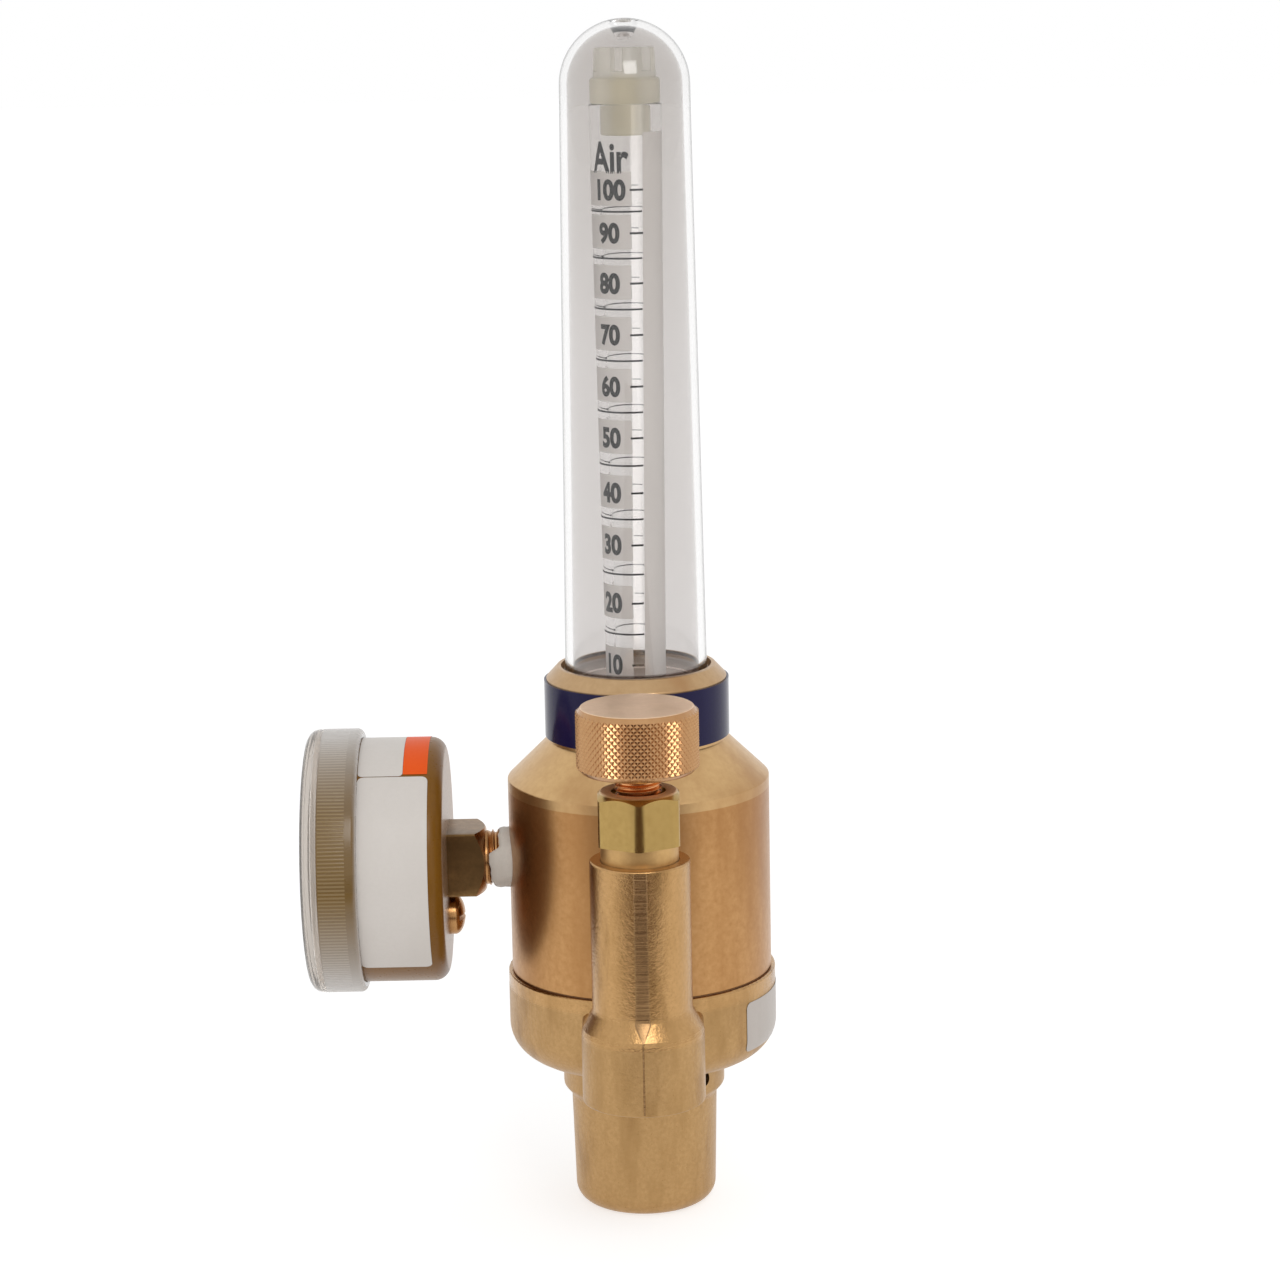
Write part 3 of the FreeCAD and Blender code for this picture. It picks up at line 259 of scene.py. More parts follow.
# %% Forging skin
forging_skin, place, scale, end = new_group("forging_skin", ["Mottle", "Pits"])
join(forging_skin, noise(forging_skin, place, scale, 6.0, 0.65), end["Mottle"])
cells = add_node(forging_skin, "ShaderNodeTexVoronoi", feature="F1")
join(forging_skin, place, cells.inputs["Vector"])
join(forging_skin, calc(forging_skin, "MULTIPLY", scale, 2.2), cells.inputs["Scale"])
near = spread(forging_skin, cells.outputs["Distance"], 1.0, 0.0, 0.04, 0.2)
chance = calc(forging_skin, "GREATER_THAN", cells.outputs["Color"], 0.72)
join(forging_skin, calc(forging_skin, "MULTIPLY", near, chance), end["Pits"])
print("forging skin", len(forging_skin.nodes), "nodes")

# %% Smears and stains
smears, place, scale, end = new_group("smears", ["Smear", "Stain"])
slant = add_node(smears, "ShaderNodeMapping")
slant.inputs["Rotation"].default_value = (0.3, 0.5, 0.2)
slant.inputs["Scale"].default_value = (1.0, 1.0, 0.28)
join(smears, place, slant.inputs["Vector"])
for label, scale_factor, low, high in (("Smear", 1.0, 0.42, 0.68), ("Stain", 0.45, 0.52, 0.72)):
    cloud_scale = calc(smears, "MULTIPLY", scale, scale_factor)
    cloud = noise(smears, slant.outputs["Vector"], cloud_scale, 4.0, 0.6)
    mask = spread(smears, cloud, 0.0, 1.0, low, high, interpolation_type="SMOOTHSTEP")
    join(smears, mask, end[label])
print("smears", len(smears.nodes), "nodes")

# %% [markdown]
# ## Brass finishes
# The metal pieces are one alloy in several finishes: turned, forged, polished and aged. A single
# recipe makes them all. It mixes a clean colour with a deeper one by the masks above, and the
# same masks roughen and dent the surface, so colour and touch agree.

# %% Small steps that every material uses
def group_node(tree, group, vector, scale):
    node = add_node(tree, "ShaderNodeGroup", node_tree=group)
    join(tree, vector, node.inputs["Vector"])
    join(tree, scale, node.inputs["Scale"])
    return node.outputs


def place_of(tree, centre=(0, 0, 0), turn=(0, 0, 0)):
    # Object coordinates, moved and turned so that the piece's own axis is Z
    spot = add_node(tree, "ShaderNodeTexCoord")
    move = add_node(tree, "ShaderNodeMapping", vector_type="TEXTURE")
    move.inputs["Location"].default_value = [value * MM for value in centre]
    move.inputs["Rotation"].default_value = turn
    join(tree, spot.outputs["Object"], move.inputs["Vector"])
    return move.outputs["Vector"]


def blend_colour(tree, factor, low, high):
    # low and high are colours, or sockets that carry one
    mix = add_node(tree, "ShaderNodeMix", data_type="RGBA")
    join(tree, factor, mix.inputs["Factor"])
    for value, target in ((low, mix.inputs[6]), (high, mix.inputs[7])):
        join(tree, (*value, 1) if isinstance(value, tuple) else value, target)
    return mix.outputs[2]


def bump(tree, height, depth, below=None):
    # depth in millimetres for the full swing of the mask
    node = add_node(tree, "ShaderNodeBump")
    node.inputs["Strength"].default_value = 1.0
    node.inputs["Distance"].default_value = depth * MM
    join(tree, height, node.inputs["Height"])
    if below:
        join(tree, below, node.inputs["Normal"])
    return node.outputs["Normal"]


def height_mask(tree, place, low, high):
    # 0 below one height on the piece's own axis and 1 above another, in millimetres
    return spread(tree, split(tree, place)["Z"], 0.0, 1.0, low * MM, high * MM)


def inside_mask(tree, radius):
    # 1 inside a radius about the part's own axis
    across = distance_from_axis(tree, place_of(tree))
    return spread(tree, across, 1.0, 0.0, radius * MM, (radius + 0.1) * MM)


# %% Recipe for brass
def brass(name, clean, deep, stain, rough, ring_depth=0.0, skin_depth=0.0, skin_scale=900.0,
          ring_scale=2600.0, smear_scale=95.0, stain_share=0.5, speck_share=0.0, centre=(0, 0, 0),
          turn=(0, 0, 0), zones=(), hollow=None):
    # each zone is (heights, clean, deep, rough) above a line. The last argument is (radius, colour) in a
    # bore: painted light, a pale, less metallic colour for light that does not reach inside.
    material, tree, shader = new_material(name)
    shader.inputs["Metallic"].default_value = 1.0
    place = place_of(tree, centre, turn)
    rings = group_node(tree, lathe_marks, place, ring_scale)["Rings"]
    mottle = group_node(tree, forging_skin, place, skin_scale)["Mottle"]
    smear = group_node(tree, smears, place, smear_scale)
    mixed = calc(tree, "ADD", spread(tree, rings, -0.25, 0.25), spread(tree, mottle, 0.1, 0.9))
    roughness = spread(tree, mixed, *rough)
    for heights, zone_clean, zone_deep, zone_rough in zones:
        line = height_mask(tree, place, *heights)
        clean = blend_colour(tree, line, clean, zone_clean)
        deep = blend_colour(tree, line, deep, zone_deep)
        both = add_node(tree, "ShaderNodeMix")
        join(tree, line, both.inputs["Factor"])
        join(tree, roughness, both.inputs[2])
        join(tree, spread(tree, mixed, *zone_rough), both.inputs[3])
        roughness = both.outputs[0]
    join(tree, roughness, shader.inputs["Roughness"])
    colour = blend_colour(tree, spread(tree, smear["Smear"], 0.0, 0.75), clean, deep)
    colour = blend_colour(tree, spread(tree, mottle, 0.0, 0.8, 0.35, 0.75), colour, deep)
    colour = blend_colour(tree, spread(tree, smear["Stain"], 0.0, stain_share), colour, stain)
    if speck_share:
        specks = group_node(tree, forging_skin, place, skin_scale * 0.5)["Pits"]
        colour = blend_colour(tree, spread(tree, specks, 0.0, speck_share), colour, stain)
    # Painted light: a pale, less metallic colour inside the bore
    if hollow:
        within = inside_mask(tree, hollow[0])
        colour = blend_colour(tree, within, colour, hollow[1])
        join(tree, spread(tree, within, 1.0, 0.2), shader.inputs["Metallic"])
    join(tree, colour, shader.inputs["Base Color"])
    normal = None
    if ring_depth:
        normal = bump(tree, rings, ring_depth)
    if skin_depth:
        normal = bump(tree, mottle, skin_depth, normal)
    if normal:
        join(tree, normal, shader.inputs["Normal"])
    return material


# %% The brass finishes
VALVE_AXIS = (0, -32, 0)
GAUGE_CENTRE = (0, 0, 63.2)
TO_GAUGE_AXIS = (0, -math.pi / 2, 0)
COPPER_AND_LIT_TOP_LINE = (75.85, 75.95)
RIM_LINE = (94.0, 94.2)
BARREL_LINE = (40.2, 41.2)
NUT_FOOT_LINE = (73.9, 74.0)
NUT_LINE = (82.6, 82.85)
KNOB_LINE = (97.06, 97.16)
finishes = {
    "turned": brass("turned_brass", (0.56, 0.32, 0.135), (0.46, 0.25, 0.095), (0.34, 0.17, 0.06),
                    (0.22, 0.38), ring_depth=0.004),
    "body": brass("turned_body", (0.51, 0.28, 0.115), (0.385, 0.19, 0.068), (0.31, 0.14, 0.05),
                  (0.25, 0.40), ring_depth=0.004,
                  # Copper-toned cylinder below; the cone, neck and rim above the line are painted paler, a
                  # painted highlight for the light they reflect from above.
                  zones=[(COPPER_AND_LIT_TOP_LINE, (0.61, 0.40, 0.19), (0.52, 0.32, 0.145), (0.24, 0.40)),
                         (RIM_LINE, (0.51, 0.34, 0.185), (0.43, 0.275, 0.14), (0.24, 0.40))],
                  # Painted light: the bore is pale and barely metallic, standing in for light that does not
                  # get inside.
                  hollow=(12.72, (0.78, 0.70, 0.64))),
    "forged": brass("forged_brass", (0.49, 0.302, 0.133), (0.385, 0.228, 0.092), (0.27, 0.145, 0.053),
                    (0.28, 0.46), skin_depth=0.09, skin_scale=1500.0, speck_share=0.7,
                    smear_scale=260.0, stain_share=0.75,
                    zones=[(BARREL_LINE, (0.52, 0.31, 0.133), (0.41, 0.235, 0.092), (0.09, 0.21))]),
    "bright": brass("bright_brass", (0.60, 0.38, 0.16), (0.50, 0.30, 0.12), (0.33, 0.20, 0.065),
                    (0.34, 0.50), ring_depth=0.0006, stain_share=0.3, centre=VALVE_AXIS,
                    zones=[(NUT_FOOT_LINE, (0.45, 0.30, 0.104), (0.38, 0.245, 0.08), (0.14, 0.28)),
                           # Painted light: the nut's flat top is painted much paler than the flats, in place
                           # of the dark underside of the knob that it mirrors.
                           (NUT_LINE, (0.95, 0.72, 0.46), (0.85, 0.58, 0.33), (0.45, 0.60))]),
    "copper": brass("copper_brass", (0.74, 0.385, 0.17), (0.62, 0.28, 0.11), (0.46, 0.19, 0.07),
                    (0.16, 0.30), ring_depth=0.003, centre=VALVE_AXIS),
    "knurl": brass("knurled_brass", (0.52, 0.30, 0.145), (0.46, 0.245, 0.11), (0.40, 0.20, 0.08),
                   (0.16, 0.28), ring_depth=0.002, stain_share=0.25, centre=VALVE_AXIS,
                   zones=[(KNOB_LINE, (0.86, 0.63, 0.45), (0.74, 0.53, 0.36), (0.34, 0.5))]),
    "ground": brass("ground_brass", (0.46, 0.28, 0.13), (0.30, 0.175, 0.08), (0.20, 0.11, 0.045),
                    (0.18, 0.32), ring_depth=0.07, ring_scale=1500.0, speck_share=0.7, centre=VALVE_AXIS),
    "pipe": brass("pipe_thread_brass", (0.46, 0.25, 0.10), (0.36, 0.18, 0.07), (0.26, 0.12, 0.045),
                  (0.18, 0.34), ring_depth=0.003, centre=GAUGE_CENTRE, turn=TO_GAUGE_AXIS),
    "aged": brass("aged_brass", (0.27, 0.155, 0.062), (0.13, 0.075, 0.03), (0.06, 0.034, 0.015),
                  (0.22, 0.40), skin_depth=0.012, centre=GAUGE_CENTRE, turn=TO_GAUGE_AXIS),
}
print("brass finishes:", sorted(finishes))

# %% [markdown]
# ## Clear plastic, paint, paper and rubber
# Moulded clear plastic is a transmission material with a faint grey of its own and soft smears on
# its gloss. On the cover, the deeper grey of the inner wall and its dark edges and rings are painted
# shade, and the glows at its foot, on the cap and on the tube are painted light. Light has to reach
# what is inside, so its shadow is kept faint through Alpha. Painted and printed things are matt
# with a fine grain. Each keeps plain numbers on the shader and lets the masks vary its colour and
# roughness.

# %% Clear and milky plastic
NO_LIGHT = (0.0, 0.0, 0.0)


def band_mask(tree, value, low, high):
    # 1 between two values in millimetres
    return calc(tree, "COMPARE", value, (low + high) / 2 * MM, (high - low) / 2 * MM)


def turned_away(tree, low, high):
    # 0 where a wall is seen straight on, 1 where it is seen along its surface
    facing = add_node(tree, "ShaderNodeLayerWeight").outputs["Facing"]
    return spread(tree, facing, 0.0, 1.0, low, high)


def add_glow(tree, shader, colour):
    join(tree, colour, shader.inputs["Emission Color"])
    shader.inputs["Emission Strength"].default_value = 1.0


def clear_plastic(name, colour, rough, index, grain_depth=0.0, grain_scale=700.0, crown=None,
                  foot_glow=None, outer=None, foot_line=None, haze=0.0, column=None):
    # crown is (low, high, colour): the tint above a line.
    # foot_glow is (low, high, colour): painted light, a glow at the wall's end for light the wall carries
    # down.
    # outer is (colour, edge): the tint of the outer wall, and a painted shade at its edge where it turns
    # away.
    # foot_line is (low, high, colour): painted shade, a dark ring on the wall just above the metal.
    # haze is the share of light that the plastic scatters.
    # column is (left, right, lean, low, high, colour): a painted highlight, glow between two X places,
    # leaning with Z
    material, tree, shader = new_material(name)
    shader.inputs["Transmission Weight"].default_value = 1.0 - haze
    shader.inputs["IOR"].default_value = index
    place = place_of(tree)
    smear = group_node(tree, smears, place, 120.0)["Smear"]
    light = tuple(value * 1.03 for value in colour)
    tint = blend_colour(tree, smear, light, colour)
    if crown:
        tint = blend_colour(tree, height_mask(tree, place, *crown[:2]), tint, crown[2])
    # Painted shade: the outer wall darkens where it turns away
    if outer:
        outer_tint = blend_colour(tree, turned_away(tree, 0.72, 0.86), *outer)
        inner_wall = add_node(tree, "ShaderNodeAttribute", attribute_name="inner_wall")
        tint = blend_colour(tree, inner_wall.outputs["Fac"], outer_tint, tint)
    # Painted shade: a dark ring on the wall above the metal
    if foot_line:
        ring = band_mask(tree, split(tree, place)["Z"], *foot_line[:2])
        tint = blend_colour(tree, ring, tint, foot_line[2])
    join(tree, tint, shader.inputs["Base Color"])
    join(tree, spread(tree, smear, *rough), shader.inputs["Roughness"])
    path = add_node(tree, "ShaderNodeLightPath")
    join(tree, spread(tree, path.outputs["Is Shadow Ray"], 1.0, 0.12), shader.inputs["Alpha"])
    # Painted light: the plastic glows below a line
    if foot_glow:
        fade = height_mask(tree, place, *foot_glow[:2])
        add_glow(tree, shader, blend_colour(tree, fade, foot_glow[2], NO_LIGHT))
    # Painted highlight: a glowing strip standing in for a bright reflection
    if column:
        left, right, lean, low, high, light = column
        parts = split(tree, place)
        across = calc(tree, "MULTIPLY_ADD", parts["Z"], -lean, parts["X"])
        shown = blend_colour(tree, height_mask(tree, place, low, high), NO_LIGHT, light)
        add_glow(tree, shader, blend_colour(tree, band_mask(tree, across, left, right), NO_LIGHT, shown))
    if grain_depth:
        grain = group_node(tree, forging_skin, place, grain_scale)["Mottle"]
        join(tree, bump(tree, grain, grain_depth), shader.inputs["Normal"])
    return material


# %% Skirt of the gauge lens
def ribbed_skirt(name, paint, pale, low, high, ribs):
    # Seen straight on, the skirt shows the paint behind it, drawn out by fine ribs between two
    # distances out. Where it turns away, it is painted pale, a painted reflection of the white around
    # it. paint is two tones and the tone of the ribs, pale is the reflected tone and that of its ribs.
    material, tree, shader = new_material(name)
    place = place_of(tree, GAUGE_CENTRE, TO_GAUGE_AXIS)
    parts = split(tree, place)
    angle = calc(tree, "ARCTAN2", parts["Y"], parts["X"])
    wave = calc(tree, "SINE", calc(tree, "MULTIPLY", angle, ribs))
    within = band_mask(tree, parts["Z"], low, high)
    rib = calc(tree, "MULTIPLY", spread(tree, wave, 0.0, 1.0, -0.4, 0.9), within)
    away = turned_away(tree, 0.06, 0.62)
    smear = group_node(tree, smears, place, 160.0)["Smear"]
    behind = blend_colour(tree, spread(tree, smear, 0.0, 0.6), paint[0], paint[1])
    # Painted reflection: pale where the skirt turns away
    tone = blend_colour(tree, away, behind, pale[0])
    lines = blend_colour(tree, away, paint[2], pale[1])
    join(tree, blend_colour(tree, rib, tone, lines), shader.inputs["Base Color"])
    join(tree, spread(tree, smear, 0.22, 0.36), shader.inputs["Roughness"])
    join(tree, bump(tree, rib, 0.03), shader.inputs["Normal"])
    return material


# %% Paint, paper, rubber and other matt skins
def matt_skin(name, colour, second, rough, grain_scale=1500.0, grain_depth=0.004, gloss=0.5,
              bare=None, back=None):
    # bare is (line, colour): metal that was left unpainted nearer the body than a distance out.
    # back is a painted glow on the faces seen from behind, standing in for light that comes through a thin
    # print
    material, tree, shader = new_material(name)
    shader.inputs["Specular IOR Level"].default_value = gloss
    place = place_of(tree)
    skin = group_node(tree, forging_skin, place, grain_scale)["Mottle"]
    smear = group_node(tree, smears, place, 110.0)["Smear"]
    tone = blend_colour(tree, spread(tree, smear, 0.0, 0.6), colour, second)
    tone = blend_colour(tree, spread(tree, skin, 0.0, 0.5, 0.4, 0.7), tone, second)
    if bare:
        painted = height_mask(tree, place_of(tree, GAUGE_CENTRE, TO_GAUGE_AXIS), bare[0], bare[0] + 0.1)
        tone = blend_colour(tree, painted, bare[1], tone)
        join(tree, spread(tree, painted, 0.4, 0.0), shader.inputs["Metallic"])
    # Painted light: a glow on the faces seen from behind
    if back:
        behind = add_node(tree, "ShaderNodeNewGeometry").outputs["Backfacing"]
        add_glow(tree, shader, blend_colour(tree, behind, NO_LIGHT, back))
    join(tree, tone, shader.inputs["Base Color"])
    join(tree, spread(tree, skin, *rough), shader.inputs["Roughness"])
    join(tree, bump(tree, skin, grain_depth), shader.inputs["Normal"])
    return material


# %% The plastics and matt skins
RIBS = 220
RIB_LOW, RIB_HIGH = 50.2, 54.8
SCALE_MIDDLE = 144.0
# Place of the painted highlight strip on the tube
COLUMN_LEAN = 0.0138
COLUMN_SIDES = [side - SCALE_MIDDLE * COLUMN_LEAN for side in (0.24, 2.0)]
finishes.update({
    # Painted shade: the cover's inner wall is a deeper grey than its outer wall, darker still towards the
    # crown.
    "clear": clear_plastic("clear_plastic", (0.63, 0.60, 0.585), (0.0, 0.03), 1.49,
                           crown=(150.0, 200.0, (0.54, 0.505, 0.48)),
                           # Painted light: the foot of the cover glows, brightening the brass seen inside it.
                           foot_glow=(88.0, 96.0, (0.22, 0.20, 0.19)),
                           # Painted shade: the edge of the outer wall darkens to near black where it turns
                           # away.
                           outer=((0.93, 0.925, 0.92), (0.10, 0.10, 0.10)),
                           # Painted shade: a dark ring on the cover just above the rim.
                           foot_line=(97.35, 97.8, (0.17, 0.14, 0.13))),
    "tube": clear_plastic("tube_plastic", (0.99, 0.985, 0.98), (0.02, 0.05), 1.47,
                          # Painted highlight: a narrow strip of the tube glows, for a bright reflection in
                          # it.
                          column=(*COLUMN_SIDES, COLUMN_LEAN, 100.5, 102.0, (0.10, 0.10, 0.10))),
    "milky": clear_plastic("milky_plastic", (0.85, 0.81, 0.68), (0.35, 0.5), 1.45, 0.02,
                           crown=(198.4, 199.0, (1.0, 0.99, 0.95)),
                           # Painted light: the cap glows faintly below the line.
                           foot_glow=(210.0, 211.0, (0.025, 0.024, 0.02))),
    "lens": clear_plastic("lens_plastic", (0.71, 0.65, 0.59), (0.03, 0.09), 1.2, haze=0.3),
    "window": clear_plastic("window_plastic", (0.97, 0.965, 0.96), (0.01, 0.04), 1.2),
    # The pale pair is painted reflection where the skirt turns away.
    "skirt": ribbed_skirt("ribbed_skirt", ((0.20, 0.115, 0.03), (0.15, 0.085, 0.022), (0.29, 0.19, 0.075)),
                          ((0.57, 0.53, 0.49), (0.71, 0.67, 0.63)), RIB_LOW, RIB_HIGH, RIBS),
    "band": matt_skin("blue_band", (0.012, 0.009, 0.055), (0.018, 0.014, 0.07), (0.10, 0.22), gloss=0.16),
    "olive": matt_skin("olive_paint", (0.24, 0.105, 0.012), (0.205, 0.086, 0.009), (0.22, 0.36), gloss=0.2,
                       bare=(33.75, (0.43, 0.30, 0.205))),
    "label": matt_skin("white_label", (0.80, 0.75, 0.70), (0.76, 0.71, 0.66), (0.3, 0.45), gloss=0.3),
    "paper": matt_skin("white_sticker", (0.64, 0.58, 0.53), (0.60, 0.54, 0.49), (0.3, 0.45), gloss=0.3),
    "orange": matt_skin("orange_label", (1.0, 0.125, 0.014), (0.96, 0.11, 0.012), (0.3, 0.45), gloss=0.1),
    "silicone": matt_skin("pale_silicone", (0.55, 0.47, 0.41), (0.50, 0.42, 0.36), (0.4, 0.6)),
    "dial": matt_skin("dial_white", (0.78, 0.77, 0.74), (0.74, 0.73, 0.70), (0.35, 0.5)),
    "ink": matt_skin("black_ink", (0.012, 0.012, 0.013), (0.022, 0.022, 0.024), (0.35, 0.5)),
    "tape": matt_skin("white_tape", (0.76, 0.72, 0.655), (0.66, 0.62, 0.56), (0.4, 0.6), 2600.0, 0.03),
    "rubber": matt_skin("black_rubber", (0.018, 0.018, 0.018), (0.03, 0.03, 0.03), (0.5, 0.7)),
    "gasket": matt_skin("brown_gasket", (0.30, 0.16, 0.075), (0.24, 0.125, 0.055), (0.4, 0.6)),
    "frosted": matt_skin("frosted_print", (0.86, 0.83, 0.80), (0.90, 0.87, 0.84), (0.5, 0.7),
                         # Painted light: the print glows faintly where it is seen from behind.
                         back=(0.36, 0.35, 0.34)),
    "steel": brass("spring_steel", (0.56, 0.56, 0.57), (0.44, 0.44, 0.45), (0.33, 0.32, 0.31),
                   (0.25, 0.42)),
    "bronze": brass("sintered_bronze", (0.36, 0.21, 0.10), (0.25, 0.14, 0.06), (0.16, 0.09, 0.04),
                    (0.5, 0.75), skin_depth=0.05, skin_scale=2500.0),
})
print("finishes:", len(finishes))

# %% [markdown]
# ## Helpers for round pieces
# Nearly everything here was made on a lathe, so nearly every piece starts as a half outline that
# is spun about an axis. Corners of the outline are broken by a vertex bevel first, because real
# edges always catch a thin line of light.

# %% Outline, spin and finish
ROUND_STEPS = 128
SAME_PLACE = 1e-7
GAUGE_PLACE = Matrix.Translation(Vector(GAUGE_CENTRE) * MM) @ Matrix.Rotation(-math.pi / 2, 4, "Y")


def draw_line(bm, points):
    # Joins (x, y, z) points in millimetres by edges
    corners = [bm.verts.new([value * MM for value in point]) for point in points]
    for one, two in zip(corners, corners[1:]):
        bm.edges.new((one, two))
    return corners


def rounded(bm, geom, offset, segments, affect):
    # Breaks corners or edges, with the offset in millimetres
    bmesh.ops.bevel(bm, geom=geom, offset=offset * MM, offset_type="OFFSET", segments=segments,
                    profile=0.5, affect=affect, material=-1)


def spun(points, breaks=None, steps=ROUND_STEPS, closed=True, segments=4):
    # points are (radius, height) in millimetres, breaks maps a point's index to its corner offset
    bm = bmesh.new()
    corners = draw_line(bm, [(radius, 0, height) for radius, height in points])
    if closed:
        bm.edges.new((corners[-1], corners[0]))
    for index, offset in (breaks or {}).items():
        rounded(bm, [corners[index]], offset, segments, "VERTICES")
    bmesh.ops.spin(bm, geom=bm.verts[:] + bm.edges[:], cent=(0, 0, 0), axis=(0, 0, 1),
                   angle=2 * math.pi, steps=steps, use_merge=True)
    bmesh.ops.remove_doubles(bm, verts=bm.verts, dist=SAME_PLACE)
    return bm


def block(size, centre):
    # A box, by its size and centre in millimetres
    bm = bmesh.new()
    bmesh.ops.create_cube(bm, size=1.0)
    bmesh.ops.scale(bm, verts=bm.verts, vec=[value * MM for value in size])
    bmesh.ops.translate(bm, verts=bm.verts, vec=[value * MM for value in centre])
    return bm


def moved(bm, matrix):
    bmesh.ops.transform(bm, matrix=matrix, verts=bm.verts)
    return bm


def to_valve(bm):
    return moved(bm, Matrix.Translation(Vector(VALVE_AXIS) * MM))


def to_gauge(bm):
    return moved(bm, GAUGE_PLACE)


def finished(name, bm, finish, body, stands_for=(), sharp=32.0, sheet_axis=None):
    # sheet_axis turns the faces of an open sheet away from a point on its axis
    bmesh.ops.remove_doubles(bm, verts=bm.verts, dist=SAME_PLACE)
    bmesh.ops.recalc_face_normals(bm, faces=bm.faces)
    if sheet_axis:
        bm.normal_update()
        inward = [face for face in bm.faces if face.normal.dot(sheet_axis(face.calc_center_median())) < 0]
        bmesh.ops.reverse_faces(bm, faces=inward)
    mesh = bpy.data.meshes.new(name)
    bm.to_mesh(mesh)
    bm.free()
    mesh.shade_smooth()
    mesh.set_sharp_from_angle(angle=math.radians(sharp))
    mesh.materials.append(finishes[finish])
    piece = bpy.data.objects.new(name, mesh)
    bpy.context.scene.collection.objects.link(piece)
    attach(piece, body)
    if stands_for:
        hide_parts(*stands_for)
    print(name, len(mesh.polygons), "faces")
    return piece


# %% Cut or join two meshes
def combined(bm, tool, operation):
    # A Boolean modifier on a passing object, read back as a mesh
    stock = []
    for shape in (bm, tool):
        mesh = bpy.data.meshes.new("stock")
        bmesh.ops.recalc_face_normals(shape, faces=shape.faces)
        shape.to_mesh(mesh)
        shape.free()
        item = bpy.data.objects.new("stock", mesh)
        bpy.context.scene.collection.objects.link(item)
        stock.append(item)
    step = stock[0].modifiers.new("combine", "BOOLEAN")
    step.object = stock[1]
    step.operation = operation
    step.solver = "EXACT"
    result = bmesh.new()
    result.from_object(stock[0], bpy.context.evaluated_depsgraph_get())
    for item in stock:
        mesh = item.data
        bpy.data.objects.remove(item)
        bpy.data.meshes.remove(mesh)
    return result

# %% [markdown]
# ## Parting line of the forging
# Two dies close on the hot brass and squeeze a thin fin out between them. The fin is ground off
# the front of the valve barrel, which leaves a flat strip with chatter marks, and it runs out in
# a fine seam down the boss. The strip follows the outline of barrel and boss: that outline is
# spun through a small angle, and each row is then drawn in to its own width.

# %% Model the ground strip and the seam
STRIP_PROUD, STRIP_WIDTH, SEAM_WIDTH = 0.035, 2.5, 0.36
STRIP_HALF_ANGLE = math.radians(10)
BOSS_RADIUS, BARREL_RADIUS = 10.4, 8.48
SHOULDER_LOW, SHOULDER_HIGH, SHOULDER_TANGENT = 41.7, 45.2, 0.41


def strip_width(height):
    # Full width on the barrel, a short flare, a V over the shoulder, then a hairline
    if height > SHOULDER_HIGH + 2:
        return STRIP_WIDTH
    if height > SHOULDER_HIGH - 0.6:
        return STRIP_WIDTH + 0.18 * (SHOULDER_HIGH + 2 - height)
    return max(SEAM_WIDTH, 3.0 * (height - SHOULDER_LOW - 0.1) / (SHOULDER_HIGH - SHOULDER_LOW - 0.7))


seam = bmesh.new()
seam_line = [(BOSS_RADIUS, 29.6), (BOSS_RADIUS, SHOULDER_LOW), (BARREL_RADIUS, SHOULDER_HIGH),
             (BARREL_RADIUS, 70.6)]
corners = draw_line(seam, [(0, -radius, height) for radius, height in seam_line])
for corner in corners[1:3]:
    rounded(seam, [corner], SHOULDER_TANGENT, 5, "VERTICES")
long_runs = [edge for edge in seam.edges if edge.calc_length() > 1.0 * MM]
bmesh.ops.subdivide_edges(seam, edges=long_runs, cuts=15)
bmesh.ops.rotate(seam, verts=seam.verts, matrix=Matrix.Rotation(-STRIP_HALF_ANGLE, 3, "Z"))
bmesh.ops.spin(seam, geom=seam.verts[:] + seam.edges[:], cent=(0, 0, 0), axis=(0, 0, 1),
               angle=2 * STRIP_HALF_ANGLE, steps=12)
bmesh.ops.remove_doubles(seam, verts=seam.verts, dist=SAME_PLACE)
for vert in seam.verts:
    radius = Vector((vert.co.x, vert.co.y)).length / MM
    share = math.atan2(vert.co.x, -vert.co.y) / STRIP_HALF_ANGLE
    height = vert.co.z / MM
    ragged = 0.08 * math.sin(2.3 * height) + 0.05 * math.sin(5.9 * height + 1.0)
    angle = share * (strip_width(height) + (ragged if height > SHOULDER_HIGH else 0)) / 2 / radius
    lift = STRIP_PROUD if abs(share) < 0.97 else -STRIP_PROUD
    vert.co = ((radius + lift) * math.sin(angle) * MM, -(radius + lift) * math.cos(angle) * MM, vert.co.z)
finished("forging_seam", to_valve(seam), "ground", "body", sharp=60.0,
         sheet_axis=lambda point: Vector((0, -1, 0)))

# %% [markdown]
# ## Packing nut
# The nut is bar stock with six flats. Its top is turned to a cone, which leaves a curved edge on
# each flat. A six-sided prism with softly broken corners, kept only where it is inside a turned
# blank, gives the same curved edges as the lathe does.

# %% Model the nut
def hexagon(across_flats, low, high, corner):
    bm = bmesh.new()
    bmesh.ops.create_circle(bm, segments=6, radius=across_flats / math.sqrt(3) * MM, cap_ends=True)
    bmesh.ops.translate(bm, verts=bm.verts, vec=(0, 0, low * MM))
    top = bmesh.ops.extrude_face_region(bm, geom=bm.faces[:])["geom"]
    bmesh.ops.translate(bm, verts=[item for item in top if isinstance(item, bmesh.types.BMVert)],
                        vec=(0, 0, (high - low) * MM))
    upright = [edge for edge in bm.edges if abs(edge.verts[0].co.z - edge.verts[1].co.z) > 1e-5]
    rounded(bm, upright, corner, 4, "EDGES")
    return bm


